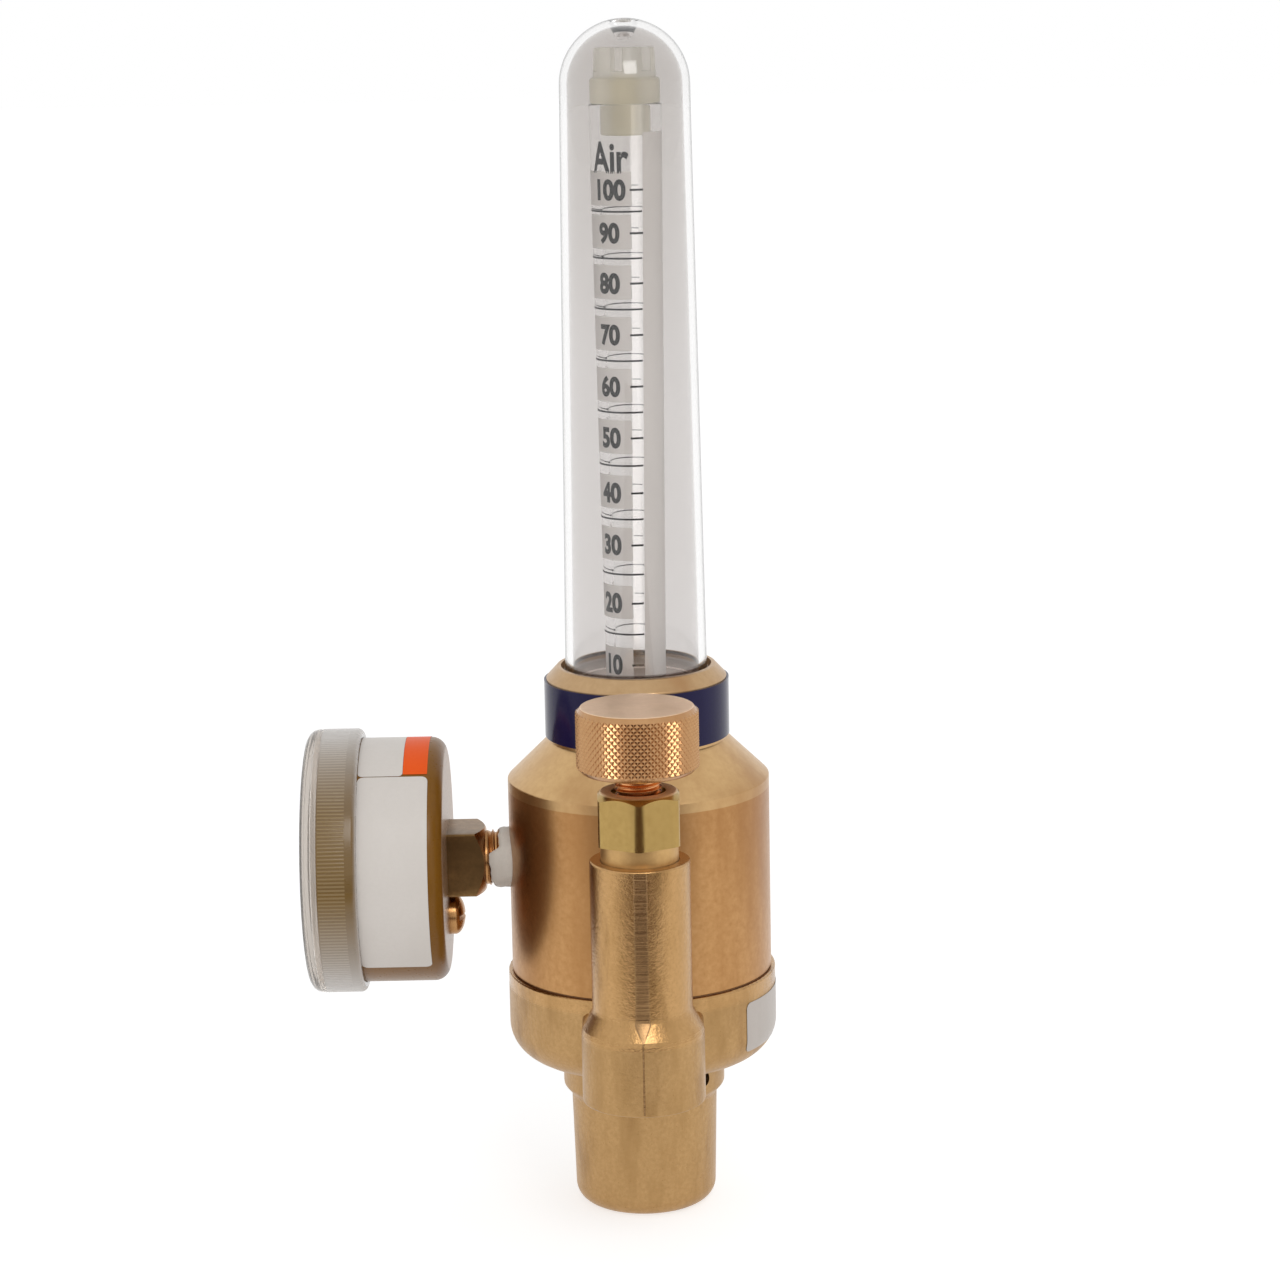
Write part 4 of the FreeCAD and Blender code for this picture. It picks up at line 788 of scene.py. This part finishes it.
nut_blank = spun([(4.02, 62.0), (6.55, 62.0), (6.55, 74.0), (7.9, 74.0), (7.9, 81.6), (6.3, 82.9),
                  (4.6, 82.9), (4.6, 81.5), (4.02, 81.5)],
                 {1: 0.2, 3: 0.25, 4: 0.12, 5: 0.2, 6: 0.15})
nut = combined(hexagon(13.6, 61.0, 85.0, 0.85), nut_blank, "INTERSECT")
finished("packing_nut_turned", to_valve(nut), "bright", "body", ["packing_nut"], 20.0)

# %% [markdown]
# ## Valve stem
# The stem's thread shows between nut and knob, and more of it when the valve is open. A thread is
# a V-shaped outline that is spun while it climbs, one pitch for each turn.

# %% Model the threaded stem
def thread(root, crest, pitch, low, high, steps=40):
    bm = bmesh.new()
    turns = math.ceil((high - low) / pitch)
    flank = [(root, 0.0), (root, 0.12), (crest, 0.46), (crest, 0.54), (root, 0.88), (root, 1.0)]
    draw_line(bm, [(radius, 0, low + share * pitch) for radius, share in flank])
    bmesh.ops.spin(bm, geom=bm.verts[:] + bm.edges[:], cent=(0, 0, 0), axis=(0, 0, 1),
                   angle=2 * math.pi * turns, steps=steps * turns, dvec=(0, 0, pitch / steps * MM))
    bmesh.ops.remove_doubles(bm, verts=bm.verts, dist=1e-6)
    bmesh.ops.holes_fill(bm, edges=[edge for edge in bm.edges if edge.is_boundary])
    return bm


STEM_PITCH = 25.4 / 32
stem_thread = thread(3.45, 3.95, STEM_PITCH, 76.0, 86.4)
finished("stem_thread", to_valve(stem_thread), "copper", "knob", sharp=20.0)
stem_rod = spun([(0, 47.6), (2.25, 47.6), (2.25, 44.0), (3.95, 44.0), (3.95, 75.6), (3.4, 76.2),
                 (3.4, 94.4), (0, 94.4)], {3: 0.3, 4: 0.2}, steps=64, closed=False)
finished("stem_rod", to_valve(stem_rod), "copper", "knob", ["valve_stem"])

# %% [markdown]
# ## Knurled knob
# A knurling wheel rolls crossed grooves into the rim and leaves small pyramids in rows. A grid
# turned by 45 degrees has the same diamonds. Each cell is poked into a pyramid, the sheet is
# trimmed to a strip that holds a whole number of diamonds, and the strip is bent round the rim.

# %% Model the knurled rim
KNOB_RADIUS = 10.3
KNOB_LOW, KNOB_HIGH, KNOB_EDGE = 86.2, 97.2, 0.9
DIAMONDS = 56
KNURL_DEPTH = 0.34
HOLE_RADIUS, HOLE_TOP = 4.1, 94.5
pitch = 2 * math.pi * KNOB_RADIUS / DIAMONDS
rim_low, rim_high = KNOB_LOW + KNOB_EDGE, KNOB_HIGH - KNOB_EDGE
girth = DIAMONDS * pitch
cells = DIAMONDS + 16
knob = bmesh.new()
bmesh.ops.create_grid(knob, x_segments=cells, y_segments=cells, size=cells * pitch / math.sqrt(8) * MM)
bmesh.ops.rotate(knob, verts=knob.verts, matrix=Matrix.Rotation(math.pi / 4, 3, "Z"))
half_girth, half_rim = girth / 2 * MM, (rim_high - rim_low) / 2 * MM
far = [vert for vert in knob.verts if abs(vert.co.y) > half_rim + 2 * pitch * MM]
bmesh.ops.delete(knob, geom=far, context="VERTS")
bmesh.ops.poke(knob, faces=knob.faces[:], offset=KNURL_DEPTH * MM)
for point, normal in (((half_girth, 0, 0), (1, 0, 0)), ((-half_girth, 0, 0), (-1, 0, 0)),
                      ((0, half_rim, 0), (0, 1, 0)), ((0, -half_rim, 0), (0, -1, 0))):
    bmesh.ops.bisect_plane(knob, geom=knob.verts[:] + knob.edges[:] + knob.faces[:], plane_co=point,
                           plane_no=normal, dist=SAME_PLACE, clear_outer=True)
for vert in knob.verts:
    angle = vert.co.x / (KNOB_RADIUS * MM)
    radius = KNOB_RADIUS * MM - KNURL_DEPTH * MM + vert.co.z
    vert.co = (radius * math.sin(angle), -radius * math.cos(angle), vert.co.y + (rim_low + rim_high) / 2 * MM)
bmesh.ops.remove_doubles(knob, verts=knob.verts, dist=2e-6)


# %% Close the knob above and below
def grow_ring(bm, edges, radius, height):
    # Extrudes an open ring of edges and sets the new ring to a radius and height
    made = bmesh.ops.extrude_edge_only(bm, edges=edges)["geom"]
    for vert in (item for item in made if isinstance(item, bmesh.types.BMVert)):
        flat = Vector((vert.co.x, vert.co.y)).normalized() * radius * MM
        vert.co = (flat.x, flat.y, height * MM)
    return [item for item in made if isinstance(item, bmesh.types.BMEdge)]


knurl_root = KNOB_RADIUS - KNURL_DEPTH
for face_height, edge_height, inner in ((KNOB_HIGH, rim_high, 0.0), (KNOB_LOW, rim_low, HOLE_RADIUS)):
    ring = [edge for edge in knob.edges if edge.is_boundary
            and abs(edge.verts[0].co.z - edge_height * MM) < 1e-5]
    side = 1 if face_height > edge_height else -1
    ring = grow_ring(knob, ring, knurl_root - 0.05, edge_height + 0.25 * side)
    ring = grow_ring(knob, ring, knurl_root - 0.5, face_height - 0.1 * side)
    ring = grow_ring(knob, ring, knurl_root - 0.66, face_height)
    ring = grow_ring(knob, ring, inner, face_height)
    if inner:
        ring = grow_ring(knob, ring, inner, HOLE_TOP)
        grow_ring(knob, ring, 0.0, HOLE_TOP)
bmesh.ops.remove_doubles(knob, verts=knob.verts, dist=2e-6)
finished("knurled_knob", to_valve(knob), "knurl", "knob", ["valve_knob"], 25.0)

# %% [markdown]
# ## Cover and flow tube
# The cover is blown or moulded clear plastic with an even wall and a round top. Inside the top is
# the small nub where the plastic was let into the mould. The flow tube inside it is wider at the
# top than at the bottom, so that the float rises with the flow. All are spun outlines.

# %% Model the cover
COVER_TOP = 197.3
COVER_RADIUS, COVER_WALL = 11.09, 1.3
FOOT_RADIUS, FOOT_HEIGHT = 12.39, 95.4
COVER_FLARE = (FOOT_RADIUS - COVER_RADIUS) / (COVER_TOP - FOOT_HEIGHT)


def dome(radius, points):
    # Quarter circle from the wall up to the axis
    return [(radius * math.cos(step / points * math.pi / 2),
             COVER_TOP + radius * math.sin(step / points * math.pi / 2)) for step in range(points + 1)]


inner_dome = dome(COVER_RADIUS - COVER_WALL, 40)
nub = [(0.0, 204.6), (0.9, 204.7), (1.5, 205.2), (1.75, 205.9)]
cover_line = ([(12.4 - COVER_WALL, 87.8), (12.62, 87.8), (12.62, 94.5), (12.4, 94.8),
               (FOOT_RADIUS, FOOT_HEIGHT)]
              + dome(COVER_RADIUS, 48) + nub + [point for point in reversed(inner_dome) if point[0] > 2.2]
              + [(FOOT_RADIUS - COVER_WALL, 88.4)])
cover = spun(cover_line, {0: 0.2, 1: 0.3}, steps=224)
inner_wall = cover.verts.layers.float.new("inner_wall")
for vert in cover.verts:
    above = Vector((vert.co.x, vert.co.y, max(0.0, vert.co.z - COVER_TOP * MM))).length / MM
    flare = COVER_FLARE * max(0.0, COVER_TOP - vert.co.z / MM)
    vert[inner_wall] = 1.0 if above < COVER_RADIUS + flare - COVER_WALL / 2 else 0.0
finished("clear_cover", cover, "clear", "body", ["tube_cover"], 20.0)

# %% Model the flow tube
def tube_radius(height):
    return 5.06 + (6.2 - 5.06) * (height - 82.0) / (194.2 - 82.0)


tube_ends = [(tube_radius(height), height) for height in (82.0, 82.5, 193.7, 194.2)]
tube = spun([(3.3, 82.0), *tube_ends, (4.4, 194.2), (4.39, 193.7)], {1: 0.25, 4: 0.25, 5: 0.2})
finished("tapered_tube", tube, "tube", "body", ["flow_tube"])

# %% [markdown]
# ## Cap on the flow tube
# A moulded milky cap closes the tube. Its plug goes into the bore, a ring lies on the tube's end,
# and the block above is cut into teeth by three crossing slots, so gas can pass under the dome.

# %% Model the cap
cap = spun([(2.4, 189.0), (4.25, 189.0), (4.25, 194.3), (5.95, 194.3), (5.95, 198.3), (5.3, 198.6),
            (5.1, 203.5), (2.4, 203.5)], {1: 0.4, 3: 0.25, 4: 0.3, 6: 0.3}, steps=96)
for turn_degrees in (15, 75, 135):
    slot_cutter = block((14.0, 2.0, 8.0), (0, 0, 203.6))
    slot_cutter = moved(slot_cutter, Matrix.Rotation(math.radians(turn_degrees), 4, "Z"))
    cap = combined(cap, slot_cutter, "DIFFERENCE")
finished("milky_cap", cap, "milky", "body", ["tube_top_cap"])

# %% [markdown]
# ## Scale on the tube
# The scale is printed on the outside of the tube: a gas name, ten numbers on frosted patches, a
# short tick at each number and a long line between them, with a frosted strip on the right. The
# marks are on the back too, thinner, and show through the tube. Text becomes a flat mesh, is
# cut into narrow slices, and is then wrapped round the tube.

# %% Wrap flat print round the tube
PRINT_LIFT = 0.03
SLICE = 0.35


def sliced(bm, low, high, normal_axis, step):
    # Cuts a flat mesh at even distances so that it can bend
    count = int((high - low) / step)
    normal = (1, 0, 0) if normal_axis == "x" else (0, 1, 0)
    for index in range(1, count + 1):
        place = low + index * step
        point = (place * MM, 0, 0) if normal_axis == "x" else (0, place * MM, 0)
        bmesh.ops.bisect_plane(bm, geom=bm.verts[:] + bm.edges[:] + bm.faces[:], plane_co=point,
                               plane_no=normal, dist=SAME_PLACE)
    return bm


def wrap_on_tube(bm, centre_degrees, height, lift=PRINT_LIFT, lean=0.0):
    # Flat X runs round the tube from an angle to the right of the front, and flat Y runs up.
    # lean is in degrees for each millimetre of height above the piece's middle.
    for vert in bm.verts:
        rise = vert.co.y / MM
        radius = tube_radius(height + rise) + lift
        angle = math.radians(centre_degrees + lean * rise) + vert.co.x / MM / radius
        vert.co = (radius * math.sin(angle) * MM, -radius * math.cos(angle) * MM, (height + rise) * MM)
    return bm


def out_from_tube(point):
    return Vector((point.x, point.y, 0))


def flat_text(words, cap_height, squeeze, weight=0.0):
    curve = bpy.data.curves.new("print", "FONT")
    curve.body = words
    curve.align_x = "CENTER"
    curve.align_y = "CENTER"
    curve.offset = weight
    curve.resolution_u = 4
    holder = bpy.data.objects.new("print", curve)
    bpy.context.scene.collection.objects.link(holder)
    bpy.context.view_layer.update()
    flat = bmesh.new()
    outlined = holder.evaluated_get(bpy.context.evaluated_depsgraph_get())
    flat.from_mesh(outlined.to_mesh())
    outlined.to_mesh_clear()
    bpy.data.objects.remove(holder)
    bpy.data.curves.remove(curve)
    heights = [vert.co.y for vert in flat.verts]
    size = cap_height / (max(heights) - min(heights)) * MM
    bmesh.ops.translate(flat, verts=flat.verts, vec=(0, -(max(heights) + min(heights)) / 2, 0))
    bmesh.ops.scale(flat, verts=flat.verts, vec=(size * squeeze, size, 1))
    return flat


def flat_plate(width, height, corner=0.0):
    bm = bmesh.new()
    bmesh.ops.create_grid(bm, x_segments=1, y_segments=1, size=0.5)
    bmesh.ops.scale(bm, verts=bm.verts, vec=(width * MM, height * MM, 1))
    if corner:
        rounded(bm, bm.verts[:], corner, 5, "VERTICES")
    return bm


def merge_into(target, piece):
    mesh = bpy.data.meshes.new("passing")
    piece.to_mesh(mesh)
    piece.free()
    target.from_mesh(mesh)
    bpy.data.meshes.remove(mesh)


# %% Print the numbers, ticks and lines
NUMBER_HEIGHTS = {100: 180.08, 90: 172.82, 80: 164.36, 70: 155.61, 60: 146.83, 50: 137.99, 40: 128.49,
                  30: 119.45, 20: 109.27, 10: 98.4}
NUMBER_ANGLE, NUMBER_LEAN = -37.5, 0.215
TICK_ANGLE, TICK_LEAN = 10.4, 0.144
LINE_END, LINE_END_LEAN = 21.2, 0.104
PRINT_EDGE = -82.0
STRIP_EDGE = 80.0
BOLD = 0.045
PATCH_TALL, TICK_TALL, LINE_TALL, BACK_TALL = 5.8, 0.36, 0.32, 0.2
HALF_TICK = 11.0
BACK_TICK_START, BACK_TICK_END, BACK_LINE_START = -205.0, -180.0, PRINT_EDGE - 150


def arc_width(from_degrees, to_degrees, height):
    return math.radians(to_degrees - from_degrees) * tube_radius(height)


def print_plate(from_degrees, to_degrees, height, tall, corner, lift):
    width = arc_width(from_degrees, to_degrees, height)
    plate = sliced(flat_plate(width, tall, corner), -width / 2, width / 2, "x", SLICE)
    return wrap_on_tube(plate, (from_degrees + to_degrees) / 2, height, lift)


ink, frost = bmesh.new(), bmesh.new()
word = sliced(flat_text("Air", 5.3, 0.72, 0.026), -6.0, 6.0, "x", SLICE)
merge_into(ink, wrap_on_tube(word, -28.5, 185.5))
for number, height in NUMBER_HEIGHTS.items():
    rise = height - SCALE_MIDDLE
    digits = sliced(flat_text(str(number), 3.65, 0.86, BOLD), -6.0, 6.0, "x", SLICE)
    merge_into(ink, wrap_on_tube(digits, NUMBER_ANGLE + NUMBER_LEAN * rise, height, PRINT_LIFT * 2))
    patch_end = 2.5 + 0.15 * rise
    merge_into(frost, print_plate(PRINT_EDGE, patch_end, height + 0.2, PATCH_TALL, 0.25, PRINT_LIFT))
    tick_middle = TICK_ANGLE + TICK_LEAN * rise
    merge_into(ink, print_plate(tick_middle - HALF_TICK, tick_middle + HALF_TICK, height, TICK_TALL, 0.0,
                                PRINT_LIFT * 2))
    merge_into(ink, print_plate(BACK_TICK_START, BACK_TICK_END, height, BACK_TALL, 0.0, PRINT_LIFT * 2))
levels = sorted(NUMBER_HEIGHTS.values())
for lower, upper in zip(levels, levels[1:]):
    height = (lower + upper) / 2
    line_end = LINE_END + LINE_END_LEAN * (height - SCALE_MIDDLE)
    merge_into(ink, print_plate(PRINT_EDGE, line_end, height, LINE_TALL, 0.0, PRINT_LIFT * 2))
    merge_into(ink, print_plate(BACK_LINE_START, PRINT_EDGE, height, BACK_TALL, 0.0, PRINT_LIFT * 2))
finished("scale_ink", ink, "ink", "body", sheet_axis=out_from_tube)

# %% Frosted strip beside the scale
STRIP_LOW, STRIP_HIGH = 96.0, 189.6
strip_height = (STRIP_LOW + STRIP_HIGH) / 2
strip_tall = STRIP_HIGH - STRIP_LOW
strip_start = LINE_END + 0.5
strip_width = arc_width(strip_start, STRIP_EDGE, strip_height)
strip = sliced(flat_plate(strip_width, strip_tall, 0.3), -strip_width / 2, strip_width / 2, "x", SLICE)
strip = sliced(strip, -strip_tall / 2, strip_tall / 2, "y", 8.0)
merge_into(frost, wrap_on_tube(strip, (strip_start + STRIP_EDGE) / 2, strip_height, lean=LINE_END_LEAN / 2))
finished("scale_frost", frost, "frosted", "body", sheet_axis=out_from_tube)

# %% [markdown]
# ## Pressure gauge
# A painted cup holds the works, and a clear moulded lens is pressed over its front. Fine ribs
# inside the lens grip the cup. The lens is spun with many steps, and every other pair of steps in
# one band of its inner wall is pushed outwards, which makes the ribs. The lens has three
# finishes: a skirt that shows the paint behind it, a hazy rim, and a clear window in front.

# %% Model the lens
STEPS_PER_RIB = 4
RIB_DEPTH = 0.28
LENS_BORE, LENS_RADIUS = 21.5, 23.15
SKIRT_START, SKIRT_END = 48.3, 55.0
WINDOW_BACK, WINDOW_FRONT = 56.2, 58.0
bore_heights = (WINDOW_BACK, 54.9, RIB_HIGH, RIB_LOW, 50.1, SKIRT_START)
outer_heights = (SKIRT_START, SKIRT_END, WINDOW_FRONT)
lens_line = [(0, WINDOW_BACK), *((LENS_BORE, height) for height in bore_heights),
             *((LENS_RADIUS, height) for height in outer_heights), (0, WINDOW_FRONT)]
lens_cup = spun(lens_line, {1: 0.4, 6: 0.15, 7: 0.9, 9: 2.2}, steps=RIBS * STEPS_PER_RIB, closed=False)
for vert in lens_cup.verts:
    radius = Vector((vert.co.x, vert.co.y)).length / MM
    ribbed = RIB_LOW - 0.02 < vert.co.z / MM < RIB_HIGH + 0.02 and abs(radius - LENS_BORE) < 0.01
    step = round(math.atan2(vert.co.y, vert.co.x) / (2 * math.pi) * RIBS * STEPS_PER_RIB)
    if ribbed and step % STEPS_PER_RIB < 2:
        factor = (radius + RIB_DEPTH) / radius
        vert.co = (vert.co.x * factor, vert.co.y * factor, vert.co.z)
ribbed_lens = finished("ribbed_lens", to_gauge(lens_cup), "lens", "body",
                       ["gauge_lens"], 30.0)
ribbed_lens.data.materials.append(finishes["skirt"])
ribbed_lens.data.materials.append(finishes["window"])
for face in ribbed_lens.data.polygons:
    radius = Vector((face.center.y, face.center.z - GAUGE_CENTRE[2] * MM)).length / MM
    outside = radius > LENS_BORE + 0.5
    if outside and -face.center.x < SKIRT_END * MM:
        face.material_index = 1
    elif abs(face.normal.x) > 0.98 and -face.center.x > SKIRT_END * MM:
        face.material_index = 2

# %% [markdown]
# The dial is a white disc that faces away from the body. It carries plain numbers from 0 to 100
# over three quarters of a turn, with a tick for every second unit.

# %% Print the dial
DIAL_FRONT = 52.95
DIAL_SWEEP = math.radians(270)
TICK_RADIUS, NUMBER_RADIUS = 18.8, 13.0
LONG_TICK, SHORT_TICK = (0.42, 2.6), (0.22, 1.5)
face_out = Matrix.Translation((0, 0, DIAL_FRONT * MM)) @ Matrix.Rotation(-math.pi / 2, 4, "Z")


def dial_angle(value):
    # Clockwise from straight up, as the dial is read
    return -DIAL_SWEEP / 2 + DIAL_SWEEP * value / 100


dial_ink = bmesh.new()
for value in range(0, 101, 2):
    angle = dial_angle(value)
    width, length = LONG_TICK if value % 10 == 0 else SHORT_TICK
    tick = flat_plate(width, length)
    bmesh.ops.translate(tick, verts=tick.verts, vec=(0, (TICK_RADIUS - length / 2) * MM, 0))
    merge_into(dial_ink, moved(tick, face_out @ Matrix.Rotation(-angle, 4, "Z")))
    if value % 20 == 0:
        digits = flat_text(str(value), 3.0, 0.85, 0.012)
        number_place = Vector((math.sin(angle), math.cos(angle), 0)) * NUMBER_RADIUS * MM
        bmesh.ops.translate(digits, verts=digits.verts, vec=number_place)
        merge_into(dial_ink, moved(digits, face_out))
finished("dial_print", to_gauge(dial_ink), "ink", "body",
         sheet_axis=lambda point: Vector((-1, 0, 0)))

# %% [markdown]
# ## Gauge connection
# A square shank for the spanner runs into a pipe thread, wrapped with white sealing tape. The
# tape is torn by hand, so its free edge wanders round the thread.

# %% Model the shank and thread
CASE_BACK = 33.7
shank = block((11.3, 11.3, 9.0), (0, 0, 30.4))
long_edges = [edge for edge in shank.edges if abs(edge.verts[0].co.z - edge.verts[1].co.z) > 1e-4]
rounded(shank, long_edges, 0.3, 3, "EDGES")
shank_blank = spun([(0, 27.0), (5.4, 27.0), (8.2, 29.0), (8.2, CASE_BACK), (0, CASE_BACK)],
                   {1: 0.25, 2: 0.15}, closed=False)
shank = combined(shank, shank_blank, "INTERSECT")
merge_into(shank, block((22.0, 9.0, 9.5), (-6.0, 0, 39.25)))
merge_into(shank, spun([(0, 33.6), (4.4, 33.6), (4.4, 35.3), (0, 35.3)], closed=False, steps=48))
gauge_shank = finished("gauge_shank", to_gauge(shank), "aged", "body",
                       ["gauge_socket"], 25.0)
gauge_shank.data.materials.append(finishes["pipe"])
for face in gauge_shank.data.polygons:
    # The turned end towards the body is bare metal
    face.material_index = 1 if face.normal.x > 0.3 else 0

PIPE_PITCH = 25.4 / 27
pipe_thread = thread(4.4, 4.95, PIPE_PITCH, 20.6, 26.2)
merge_into(pipe_thread, spun([(0, 14.5), (4.3, 14.5), (4.45, 26.0), (4.75, 26.6), (4.75, 27.2), (0, 27.2)],
                             {3: 0.2}, closed=False, steps=64))
finished("pipe_thread", to_gauge(pipe_thread), "pipe", "body", sharp=20.0)

# %% Wrap the tape
TAPE_START, TAPE_WIDTH = 22.2, 3.0
tape = spun([(4.97, TAPE_START), (5.3, TAPE_START), (5.34, 23.0), (5.26, 23.6), (5.33, 24.3),
             (5.2, 25.0), (4.97, TAPE_START + TAPE_WIDTH)], {1: 0.08}, steps=96, segments=2)
for vert in tape.verts:
    # The free edge is widest in front, torn short behind the top, and wanders in small waves
    along = (vert.co.z / MM - TAPE_START) / TAPE_WIDTH
    round_angle = math.atan2(vert.co.x, -vert.co.y)
    torn = min(1.0, max(0.0, (0.62 - round_angle) / 0.25))
    bulge = torn * max(0.0, 0.55 + 0.45 * math.cos(round_angle - 0.3))
    wander = 0.10 * math.sin(7 * round_angle) + 0.06 * math.sin(17 * round_angle + 1.0)
    vert.co.z += along * (1.6 * bulge - 0.5 + wander) * MM
    swell = 1 + 0.008 * math.sin(11 * round_angle + 2.5 * along)
    vert.co.x *= swell
    vert.co.y *= swell
finished("sealing_tape", to_gauge(tape), "tape", "body", ["thread_tape"], 50.0)

# %% [markdown]
# A round-headed screw with a slot holds the case on the shank. Its head is a short cylinder under
# a dome, and a bar is taken out of it for the slot.

# %% Model the screw
SCREW_DROP = 10.3
HEAD_RADIUS, HEAD_SIDE, HEAD_DOME = 3.5, 0.9, 1.8
SHANK_RADIUS, SHANK_END = 1.4, 41.0
dome_angles = [step / 12 * math.pi / 2 for step in range(13)]
screw_line = [(HEAD_RADIUS * math.sin(angle), CASE_BACK - HEAD_SIDE - HEAD_DOME * math.cos(angle))
              for angle in dome_angles]
screw_line += [(HEAD_RADIUS, CASE_BACK), (SHANK_RADIUS, CASE_BACK), (SHANK_RADIUS, SHANK_END),
               (0, SHANK_END)]
screw = spun(screw_line, steps=64, closed=False)
slot_bar = block((0.9, 8.0, 1.8), (0, 0, CASE_BACK - HEAD_SIDE - HEAD_DOME))
screw = moved(combined(screw, slot_bar, "DIFFERENCE"), Matrix.Translation((-SCREW_DROP * MM, 0, 0)))
finished("round_screw", to_gauge(screw), "pipe", "body", ["gauge_screw"], 30.0)

# %% [markdown]
# ## Labels
# Plain paper labels are stuck on the side of the gauge and on the flange. Each is a rectangle
# with round corners, cut into strips and bent round what it sticks to, a hair above it.

# %% Labels round the gauge
def wrap_on_case(bm, centre_out, centre_degrees, radius):
    # Flat X runs along the gauge's axis, flat Y runs up round its side from the front
    for vert in bm.verts:
        angle = math.radians(centre_degrees) + vert.co.y / MM / radius
        vert.co = (vert.co.x - centre_out * MM, -radius * math.cos(angle) * MM,
                   (GAUGE_CENTRE[2] + radius * math.sin(angle)) * MM)
    return bm


def out_from_gauge(point):
    return Vector((0, point.y, point.z - GAUGE_CENTRE[2] * MM))


LABEL_RADIUS = 21.47


def case_label(name, out_low, out_high, angle_low, angle_high, corner, finish):
    radius = LABEL_RADIUS
    length = math.radians(angle_high - angle_low) * radius
    flat = sliced(flat_plate(out_high - out_low, length, corner), -length / 2, length / 2, "y", 0.6)
    label = wrap_on_case(flat, (out_low + out_high) / 2, (angle_low + angle_high) / 2, radius)
    return finished(name, label, finish, "body", sheet_axis=out_from_gauge)


case_label("side_label", 36.2, 48.3, -45.5, 56.0, 1.1, "label")
case_label("upper_label", 40.55, 48.25, 56.4, 112.0, 0.7, "label")
case_label("upper_field", 36.3, 40.5, 57.4, 112.0, 0.15, "orange")

# %% Sticker on the flange
FLANGE_RADIUS, FLANGE_ROUND, FLANGE_LOW = 23.6, 6.0, 27.6


def flange_radius(height):
    drop = max(0.0, FLANGE_LOW + FLANGE_ROUND - height)
    return FLANGE_RADIUS - FLANGE_ROUND + math.sqrt(FLANGE_ROUND ** 2 - drop ** 2)


STICKER_WIDTH, STICKER_TALL, STICKER_HEIGHT = 20.0, 9.0, 35.6
STICKER_ANGLE, STICKER_LIFT = math.radians(74.0), 0.06
sticker = flat_plate(STICKER_WIDTH, STICKER_TALL, 1.1)
sticker = sliced(sticker, -STICKER_WIDTH / 2, STICKER_WIDTH / 2, "x", 0.6)
sticker = sliced(sticker, -STICKER_TALL / 2, STICKER_TALL / 2, "y", 0.4)
for vert in sticker.verts:
    height = STICKER_HEIGHT + vert.co.y / MM
    angle = STICKER_ANGLE + vert.co.x / MM / FLANGE_RADIUS
    radius = flange_radius(height) + STICKER_LIFT
    vert.co = (radius * math.sin(angle) * MM, -radius * math.cos(angle) * MM, height * MM)
finished("flange_sticker", sticker, "paper", "body", sheet_axis=out_from_tube)

# %% [markdown]
# ## Spring under the piston
# The range spring is a coil of round steel wire between the stem's floor and the piston. When the
# piston goes down, the spring has to get shorter. So it is coiled here, a circle spun with a rise.

# %% Coil the spring
SPRING_RADIUS, WIRE_RADIUS = 8.2, 1.1
SPRING_LOW, SPRING_HIGH = 3.02, 43.97
TURNS, TURN_STEPS = 5.4, 40
coil_steps = round(TURNS * TURN_STEPS)
coil_rise = SPRING_HIGH - SPRING_LOW - 2 * WIRE_RADIUS
coil = bmesh.new()
bmesh.ops.create_circle(coil, cap_ends=False, segments=16, radius=WIRE_RADIUS * MM)
bmesh.ops.rotate(coil, verts=coil.verts, matrix=Matrix.Rotation(math.pi / 2, 3, "X"))
bmesh.ops.translate(coil, verts=coil.verts, vec=(SPRING_RADIUS * MM, 0, (SPRING_LOW + WIRE_RADIUS) * MM))
bmesh.ops.spin(coil, geom=coil.edges[:], axis=(0, 0, 1), cent=(0, 0, 0), steps=coil_steps,
               dvec=(0, 0, coil_rise / coil_steps * MM), angle=TURNS * 2 * math.pi)
bmesh.ops.holes_fill(coil, edges=coil.edges, sides=0)
range_spring = finished("range_spring", coil, "steel", "body", ["main_spring"])
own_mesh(range_spring)

# %% [markdown]
# ## Finishes for the solids that stay
# Most solids already have the real shape, so they stay as they came and only take a finish. The
# pieces inside the body show in no picture, and they get the finish of their kind all the same.

# %% Give each solid its finish
solid_finishes = {
    "forged": ["lower_body"],
    "body": ["upper_body"],
    "turned": ["seat_nozzle", "piston", "float_stop", "packing_washer",
               "movement_back_plate", "movement_front_plate", "movement_pillars", "pinion_arbor",
               "sector_gear", "movement_link", "bourdon_tube", "poppet", "needle"],
    "bright": ["packing_nut"],
    "copper": ["valve_knob", "valve_stem", "gauge_screw"],
    "aged": ["gauge_socket"],
    "clear": ["tube_cover"],
    "tube": ["flow_tube"],
    "milky": ["tube_top_cap"],
    "lens": ["gauge_lens"],
    "band": ["neck_band"],
    "olive": ["gauge_case"],
    "dial": ["gauge_dial"],
    "ink": ["gauge_pointer"],
    "tape": ["thread_tape"],
    "gasket": ["joint_gasket"],
    "silicone": ["cover_o_ring", "tube_seal"],
    "rubber": ["body_o_ring", "piston_o_ring", "packing_ring"],
    "steel": ["main_spring", "poppet_spring", "float_ball"],
    "bronze": ["inlet_filter"],
}
for finish, names in solid_finishes.items():
    for name in names:
        nodes[name].data.materials.clear()
        nodes[name].data.materials.append(finishes[finish])
unfinished = set(nodes) - {name for names in solid_finishes.values() for name in names}
print("solids without a finish:", sorted(unfinished))
